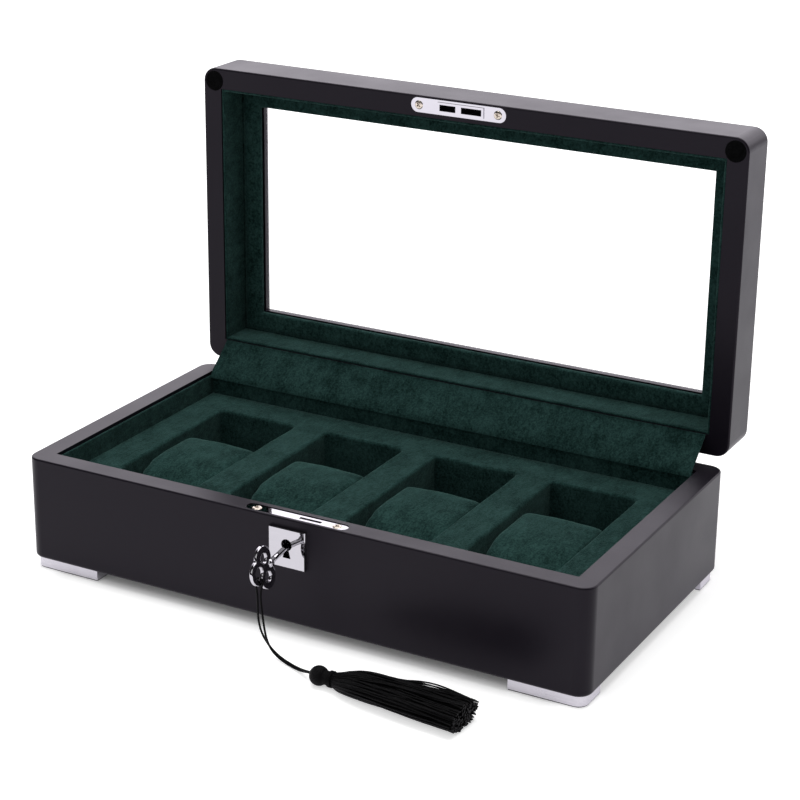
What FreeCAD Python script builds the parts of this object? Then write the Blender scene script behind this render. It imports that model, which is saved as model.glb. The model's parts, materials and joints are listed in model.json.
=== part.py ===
"""Watch box: a lacquered case for four watches, with a glazed lid that stands open.

The frame has its origin under the middle of the box, on the surface it stands on: +X is the
width, +Y points to the hinges and +Z is up. The lid is drawn shut and then opened on its hinges.
"""
import FreeCAD, Part
import math
import os
import re

import Sketcher
from FreeCAD import Placement, Rotation, Vector

doc = FreeCAD.newDocument("watch_box")

OPENING_COUNT = 4

# Driving dimensions in millimetres and degrees
SIZES = {
    # Carcass
    "box_width": 340.0,
    "box_depth": 180.0,
    "wall": 12.0,
    "corner_radius": 8.0,
    "base_height": 59.8,
    "lid_height": 30.0,
    "rim_gap": 0.6,
    "rim_round": 1.0,
    "outer_round": 2.2,
    "floor_thickness": 4.0,
    "floor_rebate": 5.0,
    "floor_clearance": 0.2,
    # Feet
    "pad_thickness": 0.7,
    "pad_inset": 1.0,
    "foot_height": 5.6,
    "foot_length": 42.0,
    "foot_width": 20.0,
    "foot_inset": 2.0,
    "foot_corner": 6.0,
    "foot_screw_spacing": 22.0,
    "foot_screw_margin": 1.0,
    # Velvet lining and tray
    "liner_thickness": 1.6,
    "liner_drop": 1.8,
    "lining_thickness": 1.0,
    "tray_drop": 12.7,
    "tray_clearance": 0.4,
    "opening_width": 51.0,
    "tray_end_wall": 21.75,
    "tray_side_wall": 23.5,
    "opening_corner": 3.0,
    "tray_round": 2.5,
    # Watch cushions
    "cushion_side_gap": 1.25,
    "cushion_length": 66.5,
    "cushion_front_gap": 1.0,
    "cushion_drop": 0.8,
    "cushion_seat_gap": 0.2,
    "cushion_flat": 25.0,
    "cushion_nose": 11.0,
    "cushion_back_round": 3.0,
    "cushion_draw": 3.0,
    # Glazed lid
    "top_thickness": 4.0,
    "window_border": 25.5,
    "glass_thickness": 2.5,
    "glass_clearance": 0.3,
    "window_liner_thickness": 3.0,
    "lid_liner_drop": 0.6,
    "bumper_radius": 6.0,
    "bumper_height": 0.5,
    "bumper_setback": 7.5,
    # Stop hinges
    "open_angle": 90.0,
    "hinge_offset": 3.4,
    "hinge_length": 38.0,
    "hinge_end_distance": 70.0,
    "leaf_thickness": 1.2,
    "leaf_reach": 9.0,
    "leaf_clearance": 0.1,
    "barrel_radius": 2.4,
    "barrel_clearance": 0.4,
    "hinge_pin_radius": 1.1,
    "pin_clearance": 0.05,
    "knuckle_gap": 0.25,
    "stop_reach": 5.6,
    "stop_thickness": 1.4,
    "stop_gap": 0.03,
    # Flap over the hinges
    "flap_thickness": 0.9,
    "flap_end_gap": 1.6,
    "flap_clearance": 0.3,
    # Lock in the front rim
    "lock_setback": 5.5,
    "lock_plate_length": 60.9,
    "lock_plate_width": 7.0,
    "lock_plate_offset": 1.0,
    "lock_plate_thickness": 1.3,
    "lock_plate_recess": 0.4,
    "lock_screw_margin": 2.15,
    "fitting_clearance": 0.1,
    "slot_length": 13.1,
    "slot_width": 2.2,
    "slot_margin": 1.164,
    "case_length": 44.0,
    "case_height": 22.0,
    "case_thickness": 6.0,
    "case_wall": 0.8,
    "hook_pivot_offset": 16.0,
    "hook_pivot_drop": 9.5,
    "hook_inner_radius": 11.8,
    "hook_outer_radius": 14.1,
    "hook_thickness": 1.4,
    "hook_tip_angle": 149.0,
    "hook_sweep": 65.0,
    "hook_spoke_sweep": 14.0,
    "hook_hub_radius": 3.0,
    "hook_pin_radius": 1.5,
    # Strike plate in the lid rim
    "strike_length": 59.4,
    "strike_width": 8.4,
    "strike_offset": -1.2,
    "strike_thickness": 1.0,
    "strike_recess": 0.3,
    "strike_raise": 0.8,
    "strike_raised_length": 28.8,
    "strike_raised_width": 6.0,
    "strike_raised_offset": 0.4,
    "strike_screw_spacing": 49.4,
    "strike_window_width": 3.6,
    "left_window_length": 10.0,
    "left_window_offset": -7.5,
    "right_window_length": 12.6,
    "right_window_offset": 7.3,
    "hook_pocket_depth": 7.0,
    "hook_pocket_margin": 4.0,
    # Keyhole plate
    "escutcheon_size": 22.0,
    "escutcheon_thickness": 2.2,
    "escutcheon_drop": 15.8,
    "escutcheon_chamfer": 0.4,
    "keyhole_drop": 13.7,
    "keyhole_offset": -0.7,
    "keyhole_radius": 3.2,
    "keyhole_slot_depth": 7.5,
    "keyhole_neck": 2.6,
    "keyhole_foot": 4.8,
    "keyhole_clearance": 0.3,
    # Key
    "key_droop": 8.0,
    "key_turned": 10.0,
    "key_sag": 1.1,
    "key_shank_radius": 1.5,
    "key_reach": 21.4,
    "key_entry": 7.4,
    "key_collar_radius": 2.4,
    "key_collar_length": 5.2,
    "key_collar_gap": 3.6,
    "key_ring_radius": 5.0,
    "key_ring_wire": 1.6,
    "key_ring_spread": 5.3,
    "key_ring_reach": 6.5,
    "key_bit_reach": 6.2,
    "key_bit_thickness": 1.3,
    "key_bit_width": 1.2,
    "key_bit_setback": 0.2,
    # Cord and tassel
    "cord_diameter": 1.2,
    "tassel_head_radius": 5.2,
    "tassel_neck_radius": 4.0,
    "tassel_neck_length": 4.5,
    "binding_thickness": 0.5,
    "binding_width": 2.4,
    "binding_setback": 1.0,
    "tassel_x": 41.7,
    "tassel_y": -130.7,
    "tassel_heading": -2.5,
    "tassel_lift": 0.3,
    "skirt_gap": 0.3,
    "skirt_length": 75.0,
    # Countersunk screws
    "screw_radius": 0.9,
    "screw_head_radius": 2.1,
    "screw_head_height": 1.1,
    "screw_length": 7.0,
    "screw_clearance": 0.05,
    # Spare depth of the cutting shapes
    "cutter_margin": 1.0,
    "web_overlap": 0.5,
    "mitre_overrun": 20.0,
}

# Places that follow from the driving dimensions
PLACES = {
    "half_width": "box_width / 2",
    "half_depth": "box_depth / 2",
    "inner_half_width": "half_width - wall",
    "inner_half_depth": "half_depth - wall",
    "base_low": "pad_thickness + foot_height",
    "rim_level": "base_low + base_height",
    "floor_top": "base_low + floor_thickness",
    "lining_top": "floor_top + lining_thickness",
    "liner_top": "rim_level - liner_drop",
    "tray_top": "rim_level - tray_drop",
    "tray_half_width": "inner_half_width - liner_thickness - tray_clearance",
    "tray_half_depth": "inner_half_depth - liner_thickness - tray_clearance",
    "opening_pitch": (
        f"(2 * tray_half_width - 2 * tray_end_wall - opening_width) / {OPENING_COUNT - 1}"
    ),
    "opening_length": "2 * tray_half_depth - 2 * tray_side_wall",
    "lid_low": "rim_level + rim_gap",
    "lid_top": "lid_low + lid_height",
    "top_low": "lid_top - top_thickness",
    "glass_low": "top_low - glass_thickness",
    "window_liner_low": "glass_low - window_liner_thickness",
    "window_length": "box_width - 2 * window_border",
    "window_width": "box_depth - 2 * window_border",
    "hinge_y": "half_depth + hinge_offset",
    "hinge_z": "rim_level + rim_gap / 2",
    "hinge_spacing": "box_width - 2 * hinge_end_distance",
    "leaf_start": "half_depth - leaf_reach",
    "leaf_end": "hinge_y - barrel_radius - barrel_clearance",
    "lock_y": "lock_setback - half_depth",
    "lock_plate_top": "rim_level - lock_plate_recess",
    "case_top": "lock_plate_top - lock_plate_thickness",
    "lock_screw_spacing": "case_length + 2 * lock_screw_margin",
    "hook_pivot_z": "rim_level - hook_pivot_drop",
    "slot_start": "hook_pivot_offset + hook_outer_radius * cos(hook_tip_angle) - slot_margin",
    "strike_low": "lid_low + strike_recess",
    "keyhole_z": "rim_level - keyhole_drop",
    "escutcheon_z": "rim_level - escutcheon_drop",
    "escutcheon_face": "0 - half_depth - escutcheon_thickness",
    "key_z": "keyhole_z - key_sag",
    "cushion_width": "opening_width - 2 * cushion_side_gap",
    "cushion_front": "cushion_front_gap - opening_length / 2",
    "cushion_low": "lining_top + cushion_seat_gap",
    "cushion_top": "tray_top - cushion_drop",
}

sheet = doc.addObject("Spreadsheet::Sheet", "Sizes")
places = doc.addObject("Spreadsheet::Sheet", "Places")
spare = doc.addObject("Spreadsheet::Sheet", "Spare")


def linked(text):
    """An expression in which every size or place is read from its sheet."""
    def with_sheet(match):
        word = match.group(0)
        if word in SIZES:
            return "Sizes." + word
        if word in PLACES:
            return "Places." + word
        return word
    return re.sub(r"[a-z][a-z_]*", with_sheet, text)


def fill_sheets():
    """Write the driving dimensions as plain numbers and the places as sums of them."""
    for row, (name, value) in enumerate(SIZES.items(), start=1):
        sheet.set(f"A{row}", name)
        sheet.set(f"B{row}", str(value))
        sheet.setAlias(f"B{row}", name)
    doc.recompute()
    for row, (name, text) in enumerate(PLACES.items(), start=1):
        places.set(f"A{row}", name)
        places.set(f"B{row}", "=" + linked(text))
        places.setAlias(f"B{row}", name)
        places.recompute()
    doc.recompute()


fill_sheets()


def number(text):
    """The present value of an expression, worked out in a spare cell."""
    spare.set("A1", "=" + linked(text))
    spare.recompute()
    return float(spare.get("A1"))


def spot(*texts):
    """A point whose coordinates are expressions."""
    return Vector(*(number(text) for text in texts))


def bind(item, **texts):
    """Tie properties of an object to the sheets."""
    for name, text in texts.items():
        item.setExpression(name, linked(text))
    return item


def put(item, x, y, z, rotation=Rotation()):
    """Turn an object and tie its place to the sheets."""
    item.Placement = Placement(Vector(), rotation)
    for axis, text in zip("xyz", (x, y, z)):
        item.setExpression("Placement.Base." + axis, linked(text))
    return item


ALONG_X = Rotation(Vector(0, 1, 0), 90)
ALONG_Y = Rotation(Vector(1, 0, 0), -90)
POINTING_UP = Rotation(Vector(1, 0, 0), 180)


def block(name, low, lengths):
    """A block from its low corner and its three lengths."""
    item = doc.addObject("Part::Box", name)
    bind(item, Length=lengths[0], Width=lengths[1], Height=lengths[2])
    return put(item, *low)


def rod(name, low, radius, length, rotation=Rotation()):
    """A round bar that starts at low and runs along its turned Z axis."""
    item = doc.addObject("Part::Cylinder", name)
    bind(item, Radius=radius, Height=length)
    return put(item, *low, rotation)


def joined(name, items):
    """One solid from several that overlap or touch."""
    item = doc.addObject("Part::MultiFuse", name)
    item.Shapes = items
    return item


def group(name, items):
    """Separate solids that share one node."""
    item = doc.addObject("Part::Compound", name)
    item.Links = items
    return item


def cut(name, base, *tools):
    """A piece with recesses and holes taken out of it."""
    item = doc.addObject("Part::Cut", name)
    item.Base = base
    item.Tool = tools[0] if len(tools) == 1 else group(name + "_cutters", list(tools))
    return item


def plane_of(body, role):
    """One of a body's own origin planes."""
    return next(item for item in body.Origin.OriginFeatures if item.Role == role)


def drawing(body, name, role, lift="0"):
    """An empty sketch on an origin plane of its body, lifted off that plane."""
    item = body.newObject("Sketcher::SketchObject", name)
    item.AttachmentSupport = (plane_of(body, role), [""])
    item.MapMode = "FlatFace"
    item.setExpression("AttachmentOffset.Base.z", linked(lift))
    return item


def tie(sketch, kind, geometry, point, text):
    """Hold one coordinate of a sketch point at an expression."""
    index = sketch.addConstraint(Sketcher.Constraint(kind, -1, 1, geometry, point, number(text)))
    sketch.setExpression(f"Constraints[{index}]", linked(text))


def outline(sketch, corners):
    """A closed outline with straight sides, every corner tied to the sheets."""
    first = sketch.GeometryCount
    points = [spot(x, y, "0") for x, y in corners]
    for start, end in zip(points, points[1:] + points[:1]):
        sketch.addGeometry(Part.LineSegment(start, end))
    for index, (x, y) in enumerate(corners):
        line = first + index
        after = first + (index + 1) % len(corners)
        sketch.addConstraint(Sketcher.Constraint("Coincident", line, 2, after, 1))
        tie(sketch, "DistanceX", line, 1, x)
        tie(sketch, "DistanceY", line, 1, y)


def rectangle(sketch, x_low, y_low, x_high, y_high):
    """A closed rectangle between two corners."""
    outline(sketch, [(x_low, y_low), (x_high, y_low), (x_high, y_high), (x_low, y_high)])


def circle(sketch, x, y, radius):
    """A circle tied to the sheets."""
    index = sketch.addGeometry(Part.Circle(spot(x, y, "0"), Vector(0, 0, 1), number(radius)))
    tie(sketch, "DistanceX", index, 3, x)
    tie(sketch, "DistanceY", index, 3, y)
    held = sketch.addConstraint(Sketcher.Constraint("Radius", index, number(radius)))
    sketch.setExpression(f"Constraints[{held}]", linked(radius))


def pad(body, sketch, length):
    """Material grown from a sketch along its normal."""
    item = body.newObject("PartDesign::Pad", sketch.Name + "_pad")
    item.Profile = sketch
    bind(item, Length=length)
    doc.recompute()
    return item


def pocket(body, sketch, length):
    """Material taken away from a sketch along its normal; it has to remove something."""
    before = body.Shape.Volume
    item = body.newObject("PartDesign::Pocket", sketch.Name + "_pocket")
    item.Profile = sketch
    item.Reversed = True
    bind(item, Length=length)
    doc.recompute()
    if body.Shape.Volume > before - 1e-6:
        raise RuntimeError(sketch.Name + " removes nothing")
    return item


def rounded(body, base, radius, wanted):
    """Round the edges of a feature that a test picks out."""
    names = [f"Edge{index}" for index, edge in enumerate(base.Shape.Edges, start=1) if wanted(edge)]
    item = body.newObject("PartDesign::Fillet", base.Name + "_round")
    item.Base = (base, names)
    bind(item, Radius=radius)
    doc.recompute()
    return item


def upright(edge):
    """True for a straight vertical edge."""
    box = edge.BoundBox
    return box.ZLength > 1e-6 and box.XLength < 1e-6 and box.YLength < 1e-6


def level_at(z):
    """A test for edges that lie flat at one height."""
    return lambda edge: edge.BoundBox.ZLength < 1e-6 and abs(edge.BoundBox.ZMin - z) < 1e-6


def outside(edge, half_x, half_y, margin):
    """True for an edge on the rim of a plate, within a margin of its outer sides."""
    middle = edge.CenterOfMass
    return abs(middle.x) > half_x - margin or abs(middle.y) > half_y - margin


def plate(name, half_x, half_y, low, thickness):
    """A body padded from a rectangle centred on the origin."""
    body = doc.addObject("PartDesign::Body", name)
    sketch = drawing(body, name + "_outline", "XY_Plane", low)
    rectangle(sketch, "0 - " + half_x, "0 - " + half_y, half_x, half_y)
    return body, pad(body, sketch, thickness)


HINGE_POINT = spot("0", "hinge_y", "hinge_z")
OPENED = Placement(Vector(), Rotation(Vector(1, 0, 0), -number("open_angle")), HINGE_POINT)

pieces = {}


def keep(name, item, opened=False):
    """Name a finished piece; the lid's pieces are swung open with it."""
    item.Label = name
    if opened:
        item.Placement = OPENED.multiply(item.Placement)
    pieces[name] = item
    return item


def screw(name, grow="0"):
    """A countersunk screw under its head's face at the origin, pointing down."""
    head = doc.addObject("Part::Cone", name + "_head")
    tip = "screw_radius + " + grow
    rim = "screw_head_radius + " + grow
    bind(head, Radius1=tip, Radius2=rim, Height="screw_head_height")
    put(head, "0", "0", "0 - screw_head_height")
    shank = rod(name + "_shank", ("0", "0", "0 - screw_length"), tip, "screw_length")
    return joined(name, [head, shank])


def screws(name, spots, rotation=Rotation(), grow="0"):
    """Screws with their heads' faces at the given spots."""
    return [
        put(screw(f"{name}_{index}", grow), *place, rotation)
        for index, place in enumerate(spots, start=1)
    ]


def stadium(name, length, width, thickness, centre_y, low, centre_x="0"):
    """A plate with round ends, along X."""
    straight = f"({length}) / 2 - ({width}) / 2"
    ends = [
        rod(
            f"{name}_end_{side}", (f"{centre_x} {sign} ({straight})", centre_y, low),
            f"({width}) / 2", thickness,
        )
        for side, sign in (("left", "-"), ("right", "+"))
    ]
    middle = block(
        name + "_middle",
        (f"{centre_x} - ({straight})", f"{centre_y} - ({width}) / 2", low),
        (f"2 * ({straight})", width, thickness),
    )
    return joined(name, ends + [middle])


def mitre_wedges():
    """Four upright wedges that meet along the mitres of the boards."""
    corners = {
        "front": [("left_out", "front_out"), ("right_out", "front_out"), ("right_in", "0"), ("left_in", "0")],
        "back": [("right_out", "back_out"), ("left_out", "back_out"), ("left_in", "0"), ("right_in", "0")],
        "left": [("left_out", "back_out"), ("left_out", "front_out"), ("left_in", "0")],
        "right": [("right_out", "front_out"), ("right_out", "back_out"), ("right_in", "0")],
    }
    spans = {
        "left_out": "0 - half_width - mitre_overrun",
        "right_out": "half_width + mitre_overrun",
        "front_out": "0 - half_depth - mitre_overrun",
        "back_out": "half_depth + mitre_overrun",
        "left_in": "half_depth - half_width",
        "right_in": "half_width - half_depth",
        "0": "0",
    }
    wedges = {}
    for side, points in corners.items():
        body = doc.addObject("PartDesign::Body", f"mitre_{side}")
        sketch = drawing(body, f"mitre_{side}_outline", "XY_Plane")
        outline(sketch, [(spans[x], spans[y]) for x, y in points])
        pad(body, sketch, "lid_top + mitre_overrun")
        wedges[side] = body
    return wedges


WEDGES = mitre_wedges()


def board(name, carcass, side):
    """One mitred board of a carcass."""
    item = doc.addObject("Part::Common", name)
    item.Base = carcass
    item.Tool = WEDGES[side]
    return item


def carcass_ring(name, low, height):
    """Four walls in one: the outside with rounded corners, and the hollow."""
    body, walls = plate(name, "half_width", "half_depth", low, height)
    rounded(body, walls, "corner_radius", upright)
    hollow = drawing(body, name + "_hollow", "XY_Plane", low)
    rectangle(hollow, "0 - inner_half_width", "0 - inner_half_depth", "inner_half_width", "inner_half_depth")
    return body, pocket(body, hollow, height)


def outer_edges(z):
    """A test for the outer edges of a carcass at one height."""
    half_x = number("half_width")
    half_y = number("half_depth")
    margin = number("wall") / 2
    at_level = level_at(z)
    return lambda edge: at_level(edge) and outside(edge, half_x, half_y, margin)


def hinge_spots(z):
    """Screw places of both hinges, two on each leaf."""
    along = "hinge_spacing / 2"
    inset = "hinge_length / 4"
    y = "half_depth - leaf_reach / 2"
    return [(f"{s} ({along}) {t} {inset}", y, z) for s in ("0 -", "0 +") for t in ("-", "+")]


def hinge_recesses(name, low):
    """Beds for both hinge leaves in a back board."""
    start = "hinge_spacing / 2 - hinge_length / 2 - leaf_clearance"
    length = "hinge_length + 2 * leaf_clearance"
    depth = "leaf_reach + leaf_clearance + cutter_margin"
    return [
        block(
            f"{name}_{side}", (f"{sign} {start}", "leaf_start - leaf_clearance", low),
            (length, depth, "leaf_thickness"),
        )
        for side, sign in (("left", "0 -"), ("right", "0 +"))
    ]


def keyhole_tool(name, grow, front, depth):
    """A keyhole seen from the front: a round hole with a bell-shaped slot under it."""
    body = doc.addObject("PartDesign::Body", name)
    for part in ("hole", "slot"):
        sketch = drawing(body, f"{name}_{part}", "XZ_Plane", f"0 - ({front})")
        if part == "hole":
            circle(sketch, "keyhole_offset", "keyhole_z", "keyhole_radius + " + grow)
        else:
            foot = "keyhole_z - keyhole_slot_depth - " + grow
            outline(sketch, [
                (f"keyhole_offset - keyhole_neck / 2 - {grow}", "keyhole_z"),
                (f"keyhole_offset - keyhole_neck / 2 - {grow}", "keyhole_z - keyhole_radius"),
                (f"keyhole_offset - keyhole_foot / 2 - {grow}", foot),
                (f"keyhole_offset + keyhole_foot / 2 + {grow}", foot),
                (f"keyhole_offset + keyhole_neck / 2 + {grow}", "keyhole_z - keyhole_radius"),
                (f"keyhole_offset + keyhole_neck / 2 + {grow}", "keyhole_z"),
            ])
        pad(body, sketch, depth).Reversed = True
    doc.recompute()
    return body


def base_boards():
    """The four mitred boards of the base, with the lock's mortise and the hinges' beds."""
    ring, _ = carcass_ring("base_carcass", "base_low", "base_height")
    rebate = drawing(ring, "base_rebate", "XY_Plane", "base_low")
    reach_x = "inner_half_width + floor_rebate"
    reach_y = "inner_half_depth + floor_rebate"
    rectangle(rebate, f"0 - ({reach_x})", f"0 - ({reach_y})", reach_x, reach_y)
    rebated = pocket(ring, rebate, "floor_thickness")
    rim = rounded(ring, rebated, "rim_round", outer_edges(number("rim_level")))
    rounded(ring, rim, "outer_round", outer_edges(number("base_low")))

    grow = "fitting_clearance"
    plate_bed = stadium(
        "lock_plate_bed", f"lock_plate_length + 2 * {grow}", f"lock_plate_width + 2 * {grow}",
        "lock_plate_thickness + lock_plate_recess", "lock_y", "case_top", "lock_plate_offset",
    )
    mortise = block(
        "lock_mortise", (
            f"0 - case_length / 2 - {grow}", f"lock_y - case_thickness / 2 - {grow}",
            f"case_top - case_height - {grow}",
        ),
        (
            f"case_length + 2 * {grow}", f"case_thickness + 2 * {grow}",
            f"case_height + {grow} + lock_plate_recess",
        ),
    )
    keyway = keyhole_tool(
        "front_keyway", "keyhole_clearance", "0 - half_depth - cutter_margin", "lock_setback + cutter_margin",
    )
    pilots = screws("lock_pilot", lock_screw_spots(), grow="screw_clearance")
    front = cut("front_board", board("front_blank", ring, "front"), plate_bed, mortise, keyway, *pilots)
    beds = hinge_recesses("base_leaf_bed", "rim_level - leaf_thickness")
    holes = screws("base_hinge_pilot", hinge_spots("rim_level"), grow="screw_clearance")
    back = cut("back_board", board("back_blank", ring, "back"), *beds, *holes)
    foot_holes = screws("foot_pilot", foot_screw_spots(), POINTING_UP, "screw_clearance")
    by_side = {"front": front, "back": back}
    for side in ("left", "right"):
        by_side[side] = board(f"{side}_blank", ring, side)
    for side, item in by_side.items():
        drilled = [hole for hole, where in zip(foot_holes, foot_screw_sides()) if where == side]
        name = f"base_{side}_board"
        keep(name, cut(name, item, *drilled) if drilled else item)


def lock_screw_spots():
    """Places of the lock plate's two screws, heads flush with the plate."""
    return [(f"lock_plate_offset {sign} lock_screw_spacing / 2", "lock_y", "lock_plate_top") for sign in "-+"]


CORNERS = [("front", "left"), ("front", "right"), ("back", "left"), ("back", "right")]


def corner_sign(side):
    """The sign of a side along its own axis, as the start of an expression."""
    return "0 -" if side in ("front", "left") else "0 +"


def foot_screw_spots():
    """Two screws in each foot, under the front or back board."""
    spots = []
    for depth_side, width_side in CORNERS:
        middle = "(half_width - foot_inset - foot_length / 2)"
        y = f"{corner_sign(depth_side)} (inner_half_depth + floor_rebate + foot_screw_margin)"
        for sign in "-+":
            x = f"{corner_sign(width_side)} ({middle} {sign} foot_screw_spacing / 2)"
            spots.append((x, y, "pad_thickness"))
    return spots


def foot_screw_sides():
    """The board that each foot screw is driven into."""
    return [depth_side for depth_side, _ in CORNERS for _ in range(2)]


def floor_and_feet():
    """The floor panel let into the boards, the metal feet and their pads."""
    reach = "+ floor_rebate - floor_clearance"
    half_x = f"(inner_half_width {reach})"
    half_y = f"(inner_half_depth {reach})"
    keep("floor_panel", block(
        "floor_block", (f"0 - {half_x}", f"0 - {half_y}", "base_low"),
        (f"2 * {half_x}", f"2 * {half_y}", "floor_thickness"),
    ))
    bores = screws("foot_bore", foot_screw_spots(), POINTING_UP, "screw_clearance")
    pads = []
    for index, (depth_side, width_side) in enumerate(CORNERS):
        name = f"foot_{depth_side}_{width_side}"
        blank = corner_plate(name + "_blank", depth_side, width_side, "0", "pad_thickness", "foot_height")
        keep(name, cut(name, blank, *bores[2 * index:2 * index + 2]))
        pads.append(corner_plate(name + "_pad", depth_side, width_side, "pad_inset", "0", "pad_thickness"))
    keep("foot_pads", group("pads", pads))
    keep("foot_screws", group("foot_screw_set", screws("foot_screw", foot_screw_spots(), POINTING_UP)))


def corner_plate(name, depth_side, width_side, inset, low, thickness):
    """A plate under one corner of the box, with its outer corner rounded."""
    sign_x = corner_sign(width_side)
    sign_y = corner_sign(depth_side)
    far_x = f"{sign_x} (half_width - foot_inset - {inset})"
    near_x = f"{sign_x} (half_width - foot_inset - foot_length + {inset})"
    far_y = f"{sign_y} (half_depth - foot_inset - {inset})"
    near_y = f"{sign_y} (half_depth - foot_inset - foot_width + {inset})"
    body = doc.addObject("PartDesign::Body", name)
    sketch = drawing(body, name + "_outline", "XY_Plane", low)
    outline(sketch, [(near_x, near_y), (far_x, near_y), (far_x, far_y), (near_x, far_y)])
    blank = pad(body, sketch, thickness)
    corner = spot(far_x, far_y, "0")

    def outer(edge):
        middle = edge.CenterOfMass
        return upright(edge) and abs(middle.x - corner.x) + abs(middle.y - corner.y) < 1e-6
    rounded(body, blank, f"foot_corner - {inset}", outer)
    return body


def slab(name, x_low, y_low, x_high, y_high, low, thickness):
    """A plain flat body between two corners."""
    body = doc.addObject("PartDesign::Body", name)
    sketch = drawing(body, name + "_outline", "XY_Plane", low)
    rectangle(sketch, x_low, y_low, x_high, y_high)
    pad(body, sketch, thickness)
    return body


def wall_liners(prefix, low, height, opened):
    """Velvet-covered cards on the four inner walls."""
    in_x = "(inner_half_width - liner_thickness)"
    in_y = "(inner_half_depth - liner_thickness)"
    spans = {
        "front": (f"0 - {in_x}", "0 - inner_half_depth", in_x, f"0 - {in_y}"),
        "back": (f"0 - {in_x}", in_y, in_x, "inner_half_depth"),
        "left": ("0 - inner_half_width", "0 - inner_half_depth", f"0 - {in_x}", "inner_half_depth"),
        "right": (in_x, "0 - inner_half_depth", "inner_half_width", "inner_half_depth"),
    }
    for side, span in spans.items():
        name = f"{prefix}_{side}_liner"
        keep(name, slab(name, *span, low, height), opened)


def opening_centre(index):
    """The middle of one compartment along X."""
    return f"opening_pitch * {index - (OPENING_COUNT - 1) / 2}"


def tray():
    """The velvet-covered lattice with one opening for each watch, and the lining under it."""
    half_x = "(inner_half_width - liner_thickness)"
    half_y = "(inner_half_depth - liner_thickness)"
    keep("floor_lining", block(
        "lining", (f"0 - {half_x}", f"0 - {half_y}", "floor_top"),
        (f"2 * {half_x}", f"2 * {half_y}", "lining_thickness"),
    ))
    body, _ = plate("tray", "tray_half_width", "tray_half_depth", "lining_top", "tray_top - lining_top")
    openings = drawing(body, "tray_openings", "XY_Plane", "lining_top")
    for index in range(OPENING_COUNT):
        centre = opening_centre(index)
        rectangle(
            openings, f"{centre} - opening_width / 2", "0 - opening_length / 2",
            f"{centre} + opening_width / 2", "opening_length / 2",
        )
    lattice = pocket(body, openings, "tray_top - lining_top")
    half_width = number("tray_half_width")
    half_depth = number("tray_half_depth")

    def inside(edge):
        return not outside(edge, half_width, half_depth, 1.0)
    corners = rounded(body, lattice, "opening_corner", lambda edge: upright(edge) and inside(edge))
    top = level_at(number("tray_top"))
    rounded(body, corners, "tray_round", lambda edge: top(edge) and inside(edge))
    keep("compartment_tray", body)


def cushion_section(centre, offset, draw):
    """A cushion's side profile at an offset from its middle, drawn in by a given amount."""
    x = centre + offset
    low = number("cushion_low")
    top = number("cushion_top") - draw
    front = number("cushion_front") + draw / 2
    back = number("cushion_front + cushion_length") - draw / 2
    shoulder = number("cushion_front + cushion_length - cushion_flat")
    nose = number("cushion_low + cushion_nose")
    turn = number("cushion_back_round")
    slant = 0.5 ** 0.5
    points = {
        "heel": Vector(x, back, low),
        "back": Vector(x, back, top - turn),
        "back_turn": Vector(x, back - turn * (1 - slant), top - turn * (1 - slant)),
        "crown": Vector(x, back - turn, top),
        "shoulder": Vector(x, shoulder, top),
        "brow": Vector(x, shoulder - (shoulder - front) * slant, nose + (top - nose) * slant),
        "nose": Vector(x, front, nose),
        "toe": Vector(x, front, low),
    }
    return Part.Wire([
        Part.makeLine(points["heel"], points["back"]),
        Part.Arc(points["back"], points["back_turn"], points["crown"]).toShape(),
        Part.makeLine(points["crown"], points["shoulder"]),
        Part.Arc(points["shoulder"], points["brow"], points["nose"]).toShape(),
        Part.makeLine(points["nose"], points["toe"]),
        Part.makeLine(points["toe"], points["heel"]),
    ])


def cushions():
    """Four watch cushions: crowned, with sides that draw in towards the ends."""
    half = number("cushion_width") / 2
    draw = number("cushion_draw")
    stations = [(-1.0, 1.0), (-0.9, 0.4), (-0.6, 0.08), (0.0, 0.0), (0.6, 0.08), (0.9, 0.4), (1.0, 1.0)]
    for index in range(OPENING_COUNT):
        centre = number(opening_centre(index))
        sections = [cushion_section(centre, share * half, depth * draw) for share, depth in stations]
        item = doc.addObject("Part::Feature", f"cushion_{index + 1}")
        item.Shape = Part.makeLoft(sections, True)
        keep(f"watch_cushion_{index + 1}", item)


def lid_boards():
    """The lid's four mitred boards, with the strike plate's bed and the hinges' beds."""
    ring, hollow = carcass_ring("lid_carcass", "lid_low", "top_low - lid_low")
    rounded(ring, hollow, "rim_round", outer_edges(number("lid_low")))
    grow = "fitting_clearance"
    bed = stadium(
        "strike_bed", f"strike_length + 2 * {grow}", f"strike_width + 2 * {grow}",
        "strike_thickness + strike_recess", "lock_y", "lid_low", "strike_offset",
    )
    hook_room = block(
        "hook_room",
        ("strike_raised_offset - strike_raised_length / 2", "lock_y - strike_window_width / 2", "lid_low"),
        ("strike_raised_length + hook_pocket_margin", "strike_window_width", "hook_pocket_depth"),
    )
    pilots = screws("strike_pilot", strike_screw_spots(), POINTING_UP, "screw_clearance")
    front = cut("lid_front", board("lid_front_blank", ring, "front"), bed, hook_room, *pilots)
    beds = hinge_recesses("lid_leaf_bed", "lid_low")
    holes = screws("lid_hinge_pilot", hinge_spots("lid_low"), POINTING_UP, "screw_clearance")
    back = cut("lid_back", board("lid_back_blank", ring, "back"), *beds, *holes)
    by_side = {"front": front, "back": back}
    for side in ("left", "right"):
        by_side[side] = board(f"lid_{side}_blank", ring, side)
    for side, item in by_side.items():
        keep(f"lid_{side}_board", item, True)


def strike_screw_spots():
    """Places of the strike plate's two screws."""
    return [(f"strike_offset {sign} strike_screw_spacing / 2", "lock_y", "strike_low") for sign in "-+"]


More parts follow.
